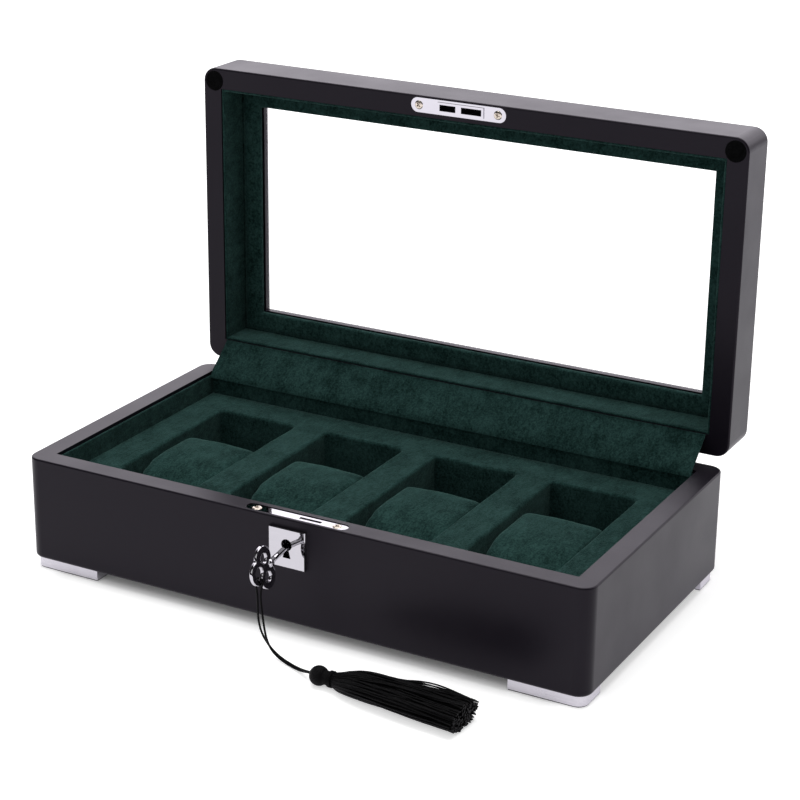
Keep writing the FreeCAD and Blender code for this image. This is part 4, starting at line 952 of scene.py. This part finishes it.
def opening_loops(low_x, high_x, centre):
    """Three loops of matching points round one opening: the centres of its corner arcs and the points between
    them, the directions outward from there, and the rectangular border of the compartment's patch."""
    inner = OPENING_HALF - OPENING_CORNER
    high_y = TRAY_HALF[1] - TRAY_INSET
    half_points = CORNER_POINTS // 2 + 1
    shares = np.linspace(0, 1, SIDE_POINTS + 2)[1:-1, None]
    core = []
    outward = []
    border = []
    for number, signs in enumerate(CORNER_SIGNS):
        edge = np.array((high_x if signs[0] > 0 else low_x, signs[1] * high_y))
        corner = (centre, 0.0) + signs * inner
        ahead = (centre, 0.0) + CORNER_SIGNS[(number + 1) % 4] * inner
        angle = QUARTER_TURN * number + QUARTER_TURN * np.linspace(0, 1, CORNER_POINTS)
        arc = np.stack([np.cos(angle), np.sin(angle)], axis=-1)
        side = corner + (ahead - corner) * shares
        core += [np.broadcast_to(corner, arc.shape), side]
        outward += [arc, np.broadcast_to(arc[-1], side.shape)]
        leg_up = np.linspace((edge[0], corner[1]), edge, half_points)
        leg_along = np.linspace(edge, (corner[0], edge[1]), half_points)
        legs = np.concatenate([leg_up, leg_along[1:]])
        fixed = 1 - number % 2
        side_border = side.copy()
        side_border[:, fixed] = edge[fixed]
        border += [legs if fixed else legs[::-1], side_border]
    return np.concatenate(core), np.concatenate(outward), np.concatenate(border)


def tray_patch(core, outward, border):
    """One compartment of the tray: rows that run from the border to the opening, over a soft edge on a
    quarter circle, down the wall and back to the border underneath, with the velvet a little uneven."""
    edge = core + outward * (OPENING_CORNER + TRAY_ROUND)
    wall = core + outward * OPENING_CORNER
    wall_top = TRAY_TOP - TRAY_ROUND
    rows = [(border + (edge - border) * share, TRAY_TOP) for share in np.linspace(0, 1, 10)]
    for angle in np.linspace(0, QUARTER_TURN, 8)[1:]:
        offset = OPENING_CORNER + TRAY_ROUND * (1 - math.sin(angle))
        rows.append((core + outward * offset, TRAY_TOP - TRAY_ROUND * (1 - math.cos(angle))))
    rows += [(wall, wall_top + share * (TRAY_LOW - wall_top)) for share in np.linspace(0, 1, 14)[1:]]
    under = [(wall + (border - wall) * share, TRAY_LOW) for share in np.linspace(0, 1, 4)[1:]]
    patch = np.stack([at_height(*row) for row in rows + under])
    bulge = eased(TRAY_TOP - patch[..., 2], *TRAY_EDGE_FADE) * uneven(patch, *TRAY_WALL_UNEVEN)
    bulge[-len(under):] = 0.0
    patch[..., :2] += bulge[..., None] * outward
    fade = eased(TRAY_HALF - np.abs(patch[..., :2]), *TRAY_RIM_FADE).prod(axis=-1)
    upper = 1 - eased(TRAY_TOP - patch[..., 2], *TRAY_EDGE_FADE)
    patch[..., 2] += uneven(patch, *TRAY_FACE_UNEVEN) * fade * upper
    return patch, grid_quads(*patch.shape[:2], wrap_columns=True)


def tray_rim(borders):
    """The tray's outer edge: the outermost points of the patches' borders, carried over a quarter circle and
    then straight down."""
    half_x, half_y = TRAY_HALF - TRAY_INSET
    x = np.unique(np.round(borders[np.abs(borders[:, 1]) > half_y - 1e-6, 0], 6)) / half_x
    y = np.unique(np.round(borders[np.abs(borders[:, 0]) > half_x - 1e-6, 1], 6)) / half_y
    loop_x = np.concatenate([x[:-1], np.ones(len(y) - 1), x[:0:-1], -np.ones(len(y) - 1)])
    loop_y = np.concatenate([-np.ones(len(x) - 1), y[:-1], np.ones(len(x) - 1), y[:0:-1]])
    angle = np.linspace(0, QUARTER_TURN, 6)
    out = np.concatenate([TRAY_INSET * np.sin(angle) - TRAY_INSET, [0.0, -TRAY_INSET]])[:, None]
    height = np.concatenate([TRAY_TOP - TRAY_INSET * (1 - np.cos(angle)), [TRAY_LOW, TRAY_LOW]])[:, None]
    rows = placed(loop_x * (TRAY_HALF[0] + out), loop_y * (TRAY_HALF[1] + out), height)
    return rows, grid_quads(*rows.shape[:2], wrap_columns=True)


def velvet_tray():
    """The tray: a patch for each compartment, which shares its border with its neighbours, and the outer edge
    round them all."""
    half_x = TRAY_HALF[0] - TRAY_INSET
    parts = []
    borders = []
    for centre in OPENING_CENTRES:
        low_x = -half_x if centre == OPENING_CENTRES[0] else centre - OPENING_PITCH / 2
        high_x = half_x if centre == OPENING_CENTRES[-1] else centre + OPENING_PITCH / 2
        core, outward, border = opening_loops(low_x, high_x, centre)
        parts.append(tray_patch(core, outward, border))
        borders.append(border)
    parts.append(tray_rim(np.concatenate(borders)))
    item = piece_from("velvet_tray", *stacked(parts), VELVET)
    stands_for(item, "base", "green_velvet", "compartment_tray")


# Linings

def card_section(low, high, rounded_high):
    """A card's section as (depth from the wall, height), closed, with its upper or its lower edge rounded."""
    radius = LINER / 2
    turn = np.linspace(0, math.pi, 9)[1:]
    sign = 1 if rounded_high else -1
    foot, tip = (low, high - radius) if rounded_high else (high, low + radius)
    rise = np.linspace(foot, tip, 14)
    face = np.column_stack([np.full(len(rise), LINER), rise])
    arc = np.column_stack([radius + radius * np.cos(turn), tip + sign * radius * np.sin(turn)])
    return np.concatenate([face, arc, [(0.0, foot)]])


def card_along(section, start, end, inward, seed):
    """Points of a velvet-covered card along a wall: its section moved from one end to the other, with its
    face slightly uneven."""
    start = np.array(start)
    length = np.array(end) - start
    stations = np.linspace(0, 1, max(12, int(np.linalg.norm(length) / LINER_STATION)))
    depth, height = section.T
    points = np.empty((len(stations), len(section), 3))
    points[..., :2] = (start + length * stations[:, None])[:, None] + depth[:, None] * inward
    points[..., 2] = height
    lift = (uneven(points, *LINER_UNEVEN, seed) - LINER_SETBACK) * depth / LINER
    points[..., :2] += lift[..., None] * inward
    return points


def wall_liners():
    """The cards on the four walls of the base and of the lid."""
    half_x, half_y = INNER_HALF
    between = half_x - LINER
    sides = {
        "front": ((-between, -half_y), (between, -half_y), np.array([0.0, 1.0])),
        "back": ((between, half_y), (-between, half_y), np.array([0.0, -1.0])),
        "left": ((-half_x, half_y), (-half_x, -half_y), np.array([1.0, 0.0])),
        "right": ((half_x, -half_y), (half_x, half_y), np.array([-1.0, 0.0])),
    }
    base_section = card_section(*BASE_LINER_SPAN, True)
    lid_section = card_section(*LID_LINER_SPAN, False)
    for number, (side, wall) in enumerate(sides.items()):
        card = card_along(base_section, *wall, BASE_LINER_SEED + number)
        item = piece_from(f"velvet_base_{side}", *capped(card), VELVET)
        stands_for(item, "base", "green_velvet", f"base_{side}_liner")
        card = card_along(lid_section, *wall, LID_LINER_SEED + number)
        item = piece_from(f"velvet_lid_{side}", *capped(opened(card)), VELVET)
        stands_for(item, "lid", "green_velvet", f"lid_{side}_liner")


def floor_lining():
    """The lining under the tray: a flat sheet whose pile stands unevenly on a level underside."""
    half_x, half_y = INNER_HALF[0] - LINER, INNER_HALF[1] - LINER
    x, y = np.meshgrid(np.linspace(-half_x, half_x, 90), np.linspace(-half_y, half_y, 46), indexing="ij")
    flat = placed(x, y, TRAY_LOW)
    flat[..., 2] -= FLOOR_LINING_SETBACK + uneven(flat, *FLOOR_LINING_UNEVEN)
    under = placed(x, y, TRAY_LOW - FLOOR_LINING_THICKNESS)
    hem = [(np.stack([flat[end], under[end]]), grid_quads(2, x.shape[1])) for end in (0, -1)]
    hem += [(np.stack([flat[:, end], under[:, end]]), grid_quads(2, x.shape[0])) for end in (0, -1)]
    sheets = [(flat, grid_quads(*x.shape)), (under, grid_quads(*x.shape))]
    item = piece_from("velvet_floor", *stacked(sheets + hem), VELVET)
    stands_for(item, "base", "green_velvet", "floor_lining")


def rectangle_loop(half_x, half_y, height):
    """Points round a level rectangle, corner to corner."""
    xs, ys = (np.linspace(-1, 1, count)[:-1] for count in WINDOW_LOOP_POINTS)
    x = np.concatenate([xs, np.ones(len(ys)), -xs, -np.ones(len(ys))])
    y = np.concatenate([-np.ones(len(xs)), ys, np.ones(len(xs)), -ys])
    return at_height(np.stack([x * half_x, y * half_y], axis=-1), height)


def window_frame():
    """The velvet frame round the pane: a closed section carried round the window, its inner edge
    rounded and its outer edge falling into a groove along the walls."""
    face, glass = WINDOW_LINER_SPAN
    back = glass - PANE_GAP
    section = [(*(WINDOW_LINER_HALF - step), face + depth) for step, depth in WINDOW_GROOVE.items()]
    for angle in np.linspace(0, QUARTER_TURN, 7):
        step = WINDOW_ROUND * (1 - math.sin(angle))
        section.append((*(WINDOW_HALF + step), face + WINDOW_ROUND * (1 - math.cos(angle))))
    section += [(*WINDOW_HALF, back), (*WINDOW_LINER_HALF, back)]
    rows = np.stack([rectangle_loop(*place) for place in section])
    rows[1:-2, :, 2] += uneven(rows[1:-2], *WINDOW_LINER_UNEVEN)
    quads = grid_quads(*rows.shape[:2], wrap_rows=True, wrap_columns=True)
    item = piece_from("velvet_window_frame", opened(rows), quads, VELVET)
    stands_for(item, "lid", "green_velvet", "window_liner")


def hinge_flap():
    """The velvet strip over the hinges: a smooth line from the back liner to the lid, carried across the box
    and given the cloth's thickness."""
    run = run_along(FLAP_LINE)
    fine = np.linspace(0, run[-1], 40)
    line = np.stack([np.interp(fine, run, FLAP_LINE[:, 0]), np.interp(fine, run, FLAP_LINE[:, 1])], axis=-1)
    for _ in range(FLAP_SMOOTHINGS):
        line[1:-1] = (line[:-2] + 2 * line[1:-1] + line[2:]) / 4
    along = unit(np.gradient(line, axis=0))
    away = np.stack([-along[:, 1], along[:, 0]], axis=-1)
    x = np.linspace(-FLAP_HALF_WIDTH, FLAP_HALF_WIDTH, 130)
    middle = placed(x[:, None], line[:, 0], line[:, 1])
    lift = uneven(middle, *FLAP_UNEVEN) * np.sin(math.pi * fine / run[-1])
    upper = middle.copy()
    lower = middle.copy()
    upper[..., 1:] += (lift + FLAP_THICKNESS / 2)[..., None] * away
    lower[..., 1:] += (lift - FLAP_THICKNESS / 2)[..., None] * away
    loop = np.concatenate([upper, lower[:, ::-1]], axis=1)
    item = piece_from("velvet_hinge_flap", *capped(loop), VELVET)
    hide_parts("hinge_flap")
    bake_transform(item)


# Cushions

def side_view(y, z):
    """Points of a cushion's side view; either coordinate may be one number."""
    return np.column_stack(np.broadcast_arrays(y, z))


def cushion_line():
    """A cushion's side view as a closed line in (y, z): flat under, straight up the back, a soft turn, a flat
    crown and a long round front."""
    turn = np.linspace(0, QUARTER_TURN, 8)
    sweep = np.linspace(0, QUARTER_TURN, 26)
    foot = CUSHION_FOOT_ROUND
    gap = CUSHION_GAP
    turn_y = CUSHION_BACK - CUSHION_BACK_ROUND
    turn_z = CUSHION_TOP - CUSHION_BACK_ROUND
    drop = CUSHION_TOP - CUSHION_NOSE
    front_reach = CUSHION_SHOULDER - CUSHION_FRONT
    return np.concatenate([
        side_view(CUSHION_BACK - foot + foot * np.sin(turn), CUSHION_LOW + foot - foot * np.cos(turn)),
        side_view(CUSHION_BACK, np.linspace(CUSHION_LOW + foot + gap, turn_z - gap, 10)),
        side_view(turn_y + CUSHION_BACK_ROUND * np.cos(turn), turn_z + CUSHION_BACK_ROUND * np.sin(turn)),
        side_view(np.linspace(turn_y - gap, CUSHION_SHOULDER + gap, 10), CUSHION_TOP),
        side_view(CUSHION_SHOULDER - front_reach * np.sin(sweep), CUSHION_NOSE + drop * np.cos(sweep)),
        side_view(CUSHION_FRONT, np.linspace(*CUSHION_NOSE_SPAN, 4)),
        side_view(CUSHION_FRONT + foot - foot * np.cos(turn), CUSHION_LOW + foot - foot * np.sin(turn)),
        side_view(np.linspace(*CUSHION_UNDER_SPAN, 12), CUSHION_LOW),
    ])


def cushion_cover():
    """A cushion's cover before it is stuffed: the side view carried across the width and drawn in over a soft
    edge at both ends, a little smaller than the finished cushion."""
    line = cushion_line()
    half = CUSHION_HALF_WIDTH
    flat_end = half - CUSHION_EDGE_ROUND
    flat_x = np.linspace(-flat_end, flat_end, 40)
    turn = np.linspace(0, QUARTER_TURN, 7)[1:]
    side_x = np.concatenate([
        flat_end + CUSHION_EDGE_ROUND * np.sin(turn), np.full(len(CUSHION_PANEL_STEPS), half),
    ])
    side_in = np.concatenate([CUSHION_EDGE_ROUND * (1 - np.cos(turn)), CUSHION_PANEL_STEPS])
    xs = np.concatenate([-side_x[::-1], flat_x, side_x])
    drawn = np.concatenate([side_in[::-1], np.zeros(len(flat_x)), side_in])[:, None]
    outward = unit(line - CUSHION_MIDDLE)
    reach = np.linalg.norm(line - CUSHION_MIDDLE, axis=1)
    slack, pull = CUSHION_PANEL_DRAW
    shrink = np.minimum(drawn, reach * drawn / (drawn + slack) * pull)
    section = line - outward * shrink[..., None]
    points = placed(xs[:, None], section[..., 0], section[..., 1])
    crown_height, crown_level = CUSHION_CROWN
    crown = crown_height * (1 - (xs / half) ** 2 - crown_level)
    points[..., 2] += crown[:, None] * eased(points[..., 2], *CUSHION_CROWN_FADE)
    centre = np.array([0.0, CUSHION_MIDDLE[0], CUSHION_LOW])
    return capped(centre + (points - centre) * (1 - STUFFING_ROOM / half))


def as_evaluated(item):
    """A new mesh of an object with its modifiers applied."""
    return bpy.data.meshes.new_from_object(item.evaluated_get(bpy.context.evaluated_depsgraph_get()))


def stuffed(points, faces):
    """A cover blown up from inside as cloth: evened out, stuffed for some steps, with the swell of every
    point kept within a limit, and brought to the cushion's length, width and height. Returns the points and
    faces of the result."""
    item = piece_from("cushion_cover", points, faces, CUSHION_VELVET)
    even = item.modifiers.new("even", "REMESH")
    even.mode = "VOXEL"
    even.voxel_size = COVER_GRAIN * MM
    item.data = as_evaluated(item)
    item.modifiers.clear()
    before = mesh_parts(item.data)[0]
    cover = item.modifiers.new("cover", "CLOTH")
    for name, value in COVER_CLOTH.items():
        setattr(cover.settings, name, value)
    cover.settings.effector_weights.gravity = 0.0
    cover.point_cache.frame_end = STUFFING_STEPS
    for step in range(1, STUFFING_STEPS + 1):
        bpy.context.scene.frame_set(step)
    swollen = as_evaluated(item)
    after, result = mesh_parts(swollen)
    bpy.context.scene.frame_set(1)
    bpy.data.objects.remove(item)
    bpy.data.meshes.remove(swollen)
    moved = after - before
    length = np.maximum(np.linalg.norm(moved, axis=1, keepdims=True), 1e-9)
    after = before + moved * np.minimum(1.0, STUFFING_SWELL_LIMIT / length)
    low = np.array([-CUSHION_HALF_WIDTH, CUSHION_FRONT, CUSHION_LOW])
    high = np.array([CUSHION_HALF_WIDTH, CUSHION_BACK, CUSHION_TOP])
    share = (after - after.min(0)) / (after.max(0) - after.min(0))
    return low + share * (high - low), result


def cushions():
    """The four watch cushions, stuffed once and set in every compartment, each a little different."""
    points, faces = stuffed(*cushion_cover())
    for number, centre in enumerate(OPENING_CENTRES, start=1):
        dents = uneven(points, *CUSHION_UNEVEN, CUSHION_SEED + number)
        dented = points + (centre, 0.0, 0.0)
        dented[:, 2] += dents * eased(points[:, 2], *CUSHION_DENT_FADE)
        item = piece_from(f"velvet_cushion_{number}", dented, faces, CUSHION_VELVET)
        smoother = item.modifiers.new("smoother", "SUBSURF")
        smoother.levels = 1
        smoother.render_levels = 1
        stands_for(item, f"cushion_{number}", "green_velvet_cushion", f"watch_cushion_{number}")


# Bumpers, pads and screws

def bumpers():
    """The felt discs on the lid's front corners: rings of growing radius, domed, with a ragged edge."""
    angle = ring_angles(72)
    share, height = BUMPER_SECTION.T[..., None]
    for number, (side, sign) in enumerate((("left", -1), ("right", 1))):
        ragged = 1 + uneven(ringed(10.0, 0.0, angle), *BUMPER_RAGGED, BUMPER_RAGGED_SEED + number)
        points = ringed(BUMPER_RADIUS * share * ragged, BUMPER_FACE + height, angle)
        points = points + (sign * BUMPER_PLACE[0], BUMPER_PLACE[1], 0.0)
        top = points[:BUMPER_TOP_ROWS]
        top[..., 2] += uneven(top, *BUMPER_UNEVEN, BUMPER_UNEVEN_SEED + number)
        item = piece_from(f"felt_bumper_{side}", *capped(opened(points)), FELT)
        stands_for(item, "lid", "black_felt", f"lid_bumper_{side}")


def foot_pads():
    """The pads under the feet: the foot's outline, drawn in by an amount that is least half way up, so that
    each pad bulges a little under the weight."""
    turn = np.linspace(0.0, QUARTER_TURN, 8)
    inset = PAD_INSETS[:, None]
    height = PAD_THICKNESS * PAD_LEVELS[:, None]
    corner = FOOT_CORNER - inset
    far_x, far_y = (far - inset for far in FOOT_FAR)
    near_x, near_y = (far - size + inset for far, size in zip(FOOT_FAR, FOOT_SIZE))
    x = np.hstack([far_x, far_x - corner + corner * np.cos(turn), near_x, near_x])
    y = np.hstack([near_y, far_y - corner + corner * np.sin(turn), far_y, near_y])
    pad = placed(x, y, height)
    pads = [capped(pad * (sign_x, sign_y, 1)) for sign_x in (-1, 1) for sign_y in (-1, 1)]
    item = piece_from("rubber_foot_pads", *stacked(pads), RUBBER)
    stands_for(item, "base", "black_pad", "foot_pads")


def cross_arm(across, along):
    """How far a place lies in one arm of a screw's cross: 1 inside it, 0 outside and eased between."""
    return (1 - eased(np.abs(across), *SCREW_ARM_HALF)) * (1 - eased(np.abs(along), *SCREW_ARM_REACH))


def screw_points(head_radius, rim, turn):
    """A countersunk screw with a cross recess: the head is a grid in radius and angle, and its height falls
    by the recess where either arm of the cross lies. Its rim lies at a height from the plate's face, and cone
    and shank follow below it."""
    angle = ring_angles(96)
    radii = np.linspace(0.02, head_radius, 30)[:, None]
    across, along, _ = np.moveaxis(ringed(radii, 0.0, angle - turn), -1, 0)
    middle = 1 - eased(radii, *SCREW_CROSS_MIDDLE)
    recess = np.maximum(np.maximum(cross_arm(along, across), cross_arm(across, along)), middle)
    edge = 1 - eased(radii, SCREW_EDGE_FROM * head_radius, head_radius)
    dome = rim + SCREW_EDGE * edge + SCREW_DOME * (1 - (radii / head_radius) ** 2)
    head = ringed(radii, dome - SCREW_RECESS * recess, angle)
    stem_radii, stem_heights = np.array([
        (min(head_radius, SCREW_SEAT), rim), (SCREW_SHANK, -SCREW_CONE), (SCREW_SHANK, -SCREW_LENGTH),
        (SCREW_TIP, -SCREW_LENGTH),
    ]).T[..., None]
    return np.concatenate([head, ringed(stem_radii, stem_heights, angle)])


def screws():
    """The screws whose heads can show, each set in place of its CAD node."""
    for name, (body, head, places) in SCREW_SETS.items():
        parts = []
        for place, turn, facing in places:
            points = screw_points(*head, turn) * (1, 1, facing) + place
            parts.append(capped(opened(points) if body == "lid" else points))
        item = piece_from(name + "_driven", *stacked(parts), SCREW_METAL)
        stands_for(item, body, "screw_metal", name)


# Stage and light

def add_camera():
    """The camera of the photograph."""
    sin_a = math.sin(CAMERA_AZIMUTH)
    cos_a = math.cos(CAMERA_AZIMUTH)
    cos_e = math.cos(CAMERA_ELEVATION)
    back = Vector((sin_a * cos_e, -cos_a * cos_e, math.sin(CAMERA_ELEVATION)))
    level = Vector((cos_a, sin_a, 0.0))
    upward = back.cross(level)
    right = math.cos(CAMERA_ROLL) * level + math.sin(CAMERA_ROLL) * upward
    up = math.cos(CAMERA_ROLL) * upward - math.sin(CAMERA_ROLL) * level
    data = bpy.data.cameras.new("photo_camera")
    data.lens = CAMERA_LENS
    data.sensor_width = CAMERA_SENSOR
    data.clip_start, data.clip_end = CAMERA_CLIP
    item = bpy.data.objects.new("photo_camera", data)
    bpy.context.scene.collection.objects.link(item)
    turn = Matrix((right, up, back)).transposed().to_4x4()
    item.matrix_world = Matrix.Translation(CAMERA_TARGET + CAMERA_DISTANCE * back) @ turn
    bpy.context.scene.camera = item


def seen_plainly(tree, strength):
    """A strength for camera, glossy and transmission rays, and none for the rest."""
    path = node(tree, "ShaderNodeLightPath")
    seen = worked_out(tree, "MAXIMUM", path.outputs["Is Camera Ray"], path.outputs["Is Glossy Ray"])
    seen = worked_out(tree, "MAXIMUM", seen, path.outputs["Is Transmission Ray"])
    return worked_out(tree, "MULTIPLY", seen, strength)


def tinted_in_mirrors(tree, tint):
    """White to the eye, and a faint tint in reflections."""
    mix = node(tree, "ShaderNodeMix", data_type="RGBA")
    mix.inputs[6].default_value = (1.0, 1.0, 1.0, 1.0)
    mix.inputs[7].default_value = (*tint, 1.0)
    tree.links.new(node(tree, "ShaderNodeLightPath").outputs["Is Glossy Ray"], mix.inputs["Factor"])
    return mix.outputs[2]


def away_from_painted_shadow(tree):
    """The distance of a place on the floor from the rectangle of painted shadow, a little smaller than the
    box that stands over it: the length of what is left of its coordinates' sizes when the rectangle's half
    sides are taken off."""
    place = object_place(tree)
    origin = (0.0, 0.0, 0.0)
    for operation, other in (("ABSOLUTE", origin), ("SUBTRACT", PAINTED_SHADOW_HALF), ("MAXIMUM", origin)):
        step = node(tree, "ShaderNodeVectorMath", operation=operation)
        tree.links.new(place, step.inputs[0])
        step.inputs[1].default_value = other
        place = step.outputs[0]
    length = node(tree, "ShaderNodeVectorMath", operation="LENGTH")
    tree.links.new(place, length.inputs[0])
    return length.outputs["Value"]


def add_floor():
    """A white floor: its glow is dimmed over a rectangle under the box, a painted shadow on top of the lamps'
    own shadow, and it turns into the surround further out.
    """
    material = bpy.data.materials.new("white_floor")
    material.use_nodes = True
    tree = material.node_tree
    shader = tree.nodes["Principled BSDF"]
    shader.inputs["Base Color"].default_value = (FLOOR_GREY, FLOOR_GREY, FLOOR_GREY, 1.0)
    shader.inputs["Roughness"].default_value = 0.9
    shader.inputs["Specular IOR Level"].default_value = 0.0
    away = away_from_painted_shadow(tree)
    # Painted shadow: the glow stays low over the rectangle under the box and eases up past it
    painted_shadow_glow = ramped(tree, away, PAINTED_SHADOW_SPAN, FLOOR_GLOW_IN_PAINTED_SHADOW, FLOOR_GLOW_MIDDLE, "SMOOTHSTEP")
    far = ramped(tree, away, FLOOR_FAR_SPAN, 0.0, FLOOR_GLOW_FAR - FLOOR_GLOW_MIDDLE, "SMOOTHSTEP")
    glow = worked_out(tree, "ADD", painted_shadow_glow, far)
    tree.links.new(seen_plainly(tree, glow), shader.inputs["Emission Strength"])
    tree.links.new(tinted_in_mirrors(tree, FLOOR_TINT), shader.inputs["Emission Color"])
    line = np.linspace(-FLOOR_HALF, FLOOR_HALF, FLOOR_GRID) / MM
    x, y = np.meshgrid(line, line, indexing="ij")
    floor = piece_from("floor", placed(x, y, -FLOOR_DROP / MM), grid_quads(*x.shape), material)
    return floor


def add_world():
    """A surround that is white to the eye; in reflections it is white overhead and behind and dim in front,
    and the light that it gives is softer."""
    world = bpy.data.worlds.new("studio")
    bpy.context.scene.world = world
    world.use_nodes = True
    tree = world.node_tree
    shade = tree.nodes["Background"]
    apart = node(tree, "ShaderNodeSeparateXYZ")
    tree.links.new(node(tree, "ShaderNodeTexCoord").outputs["Generated"], apart.inputs[0])
    back = ramped(
        tree, apart.outputs["Y"], (0.0, SURROUND_BACK_FROM), SURROUND_FRONT, SURROUND_BACK, "SMOOTHSTEP",
    )
    raised = ramped(tree, apart.outputs["Z"], (0.0, SURROUND_FULL_FROM), SURROUND_LOW, 1.0, "SMOOTHSTEP")
    mirrored = worked_out(tree, "MULTIPLY", back, raised)
    path = node(tree, "ShaderNodeLightPath")
    straight = worked_out(tree, "MAXIMUM", path.outputs["Is Camera Ray"], path.outputs["Is Transmission Ray"])
    glossy = worked_out(tree, "MULTIPLY", path.outputs["Is Glossy Ray"], mirrored)
    lit = worked_out(tree, "MULTIPLY", path.outputs["Is Diffuse Ray"], SURROUND_LIGHT)
    total = worked_out(tree, "ADD", worked_out(tree, "MAXIMUM", straight, glossy), lit)
    tree.links.new(total, shade.inputs["Strength"])
    tree.links.new(tinted_in_mirrors(tree, SURROUND_TINT), shade.inputs["Color"])


def add_lamp(name, place, aim, size, power):
    """One large soft lamp."""
    data = bpy.data.lights.new(name, "AREA")
    data.shape = "RECTANGLE"
    data.size, data.size_y = size
    data.energy = power
    item = bpy.data.objects.new(name, data)
    bpy.context.scene.collection.objects.link(item)
    item.location = place
    item.rotation_euler = (Vector(aim) - Vector(place)).to_track_quat("-Z", "Y").to_euler()
    return item


def add_lamps(floor):
    """A lamp overhead and a little behind, a wide one in front, and one that lights the floor alone."""
    for name, values in LAMPS.items():
        add_lamp(name, *values)
    lit = bpy.data.collections.new("lit_floor")
    lit.objects.link(floor)
    add_lamp("floor_front", *FLOOR_LAMP).light_linking.receiver_collection = lit


add_camera()
dress_nodes()
cord("tassel_cord_left_plies", LEFT_STRAND, "tassel_cord_left")
cord("tassel_cord_right_plies", RIGHT_STRAND, "tassel_cord_right")
tassel_head()
tassel_binding()
tassel_skirt()
key()
ease_fittings()
velvet_tray()
wall_liners()
floor_lining()
window_frame()
hinge_flap()
cushions()
bumpers()
foot_pads()
screws()
add_world()
add_lamps(add_floor())
bpy.context.scene.view_settings.view_transform = "Standard"
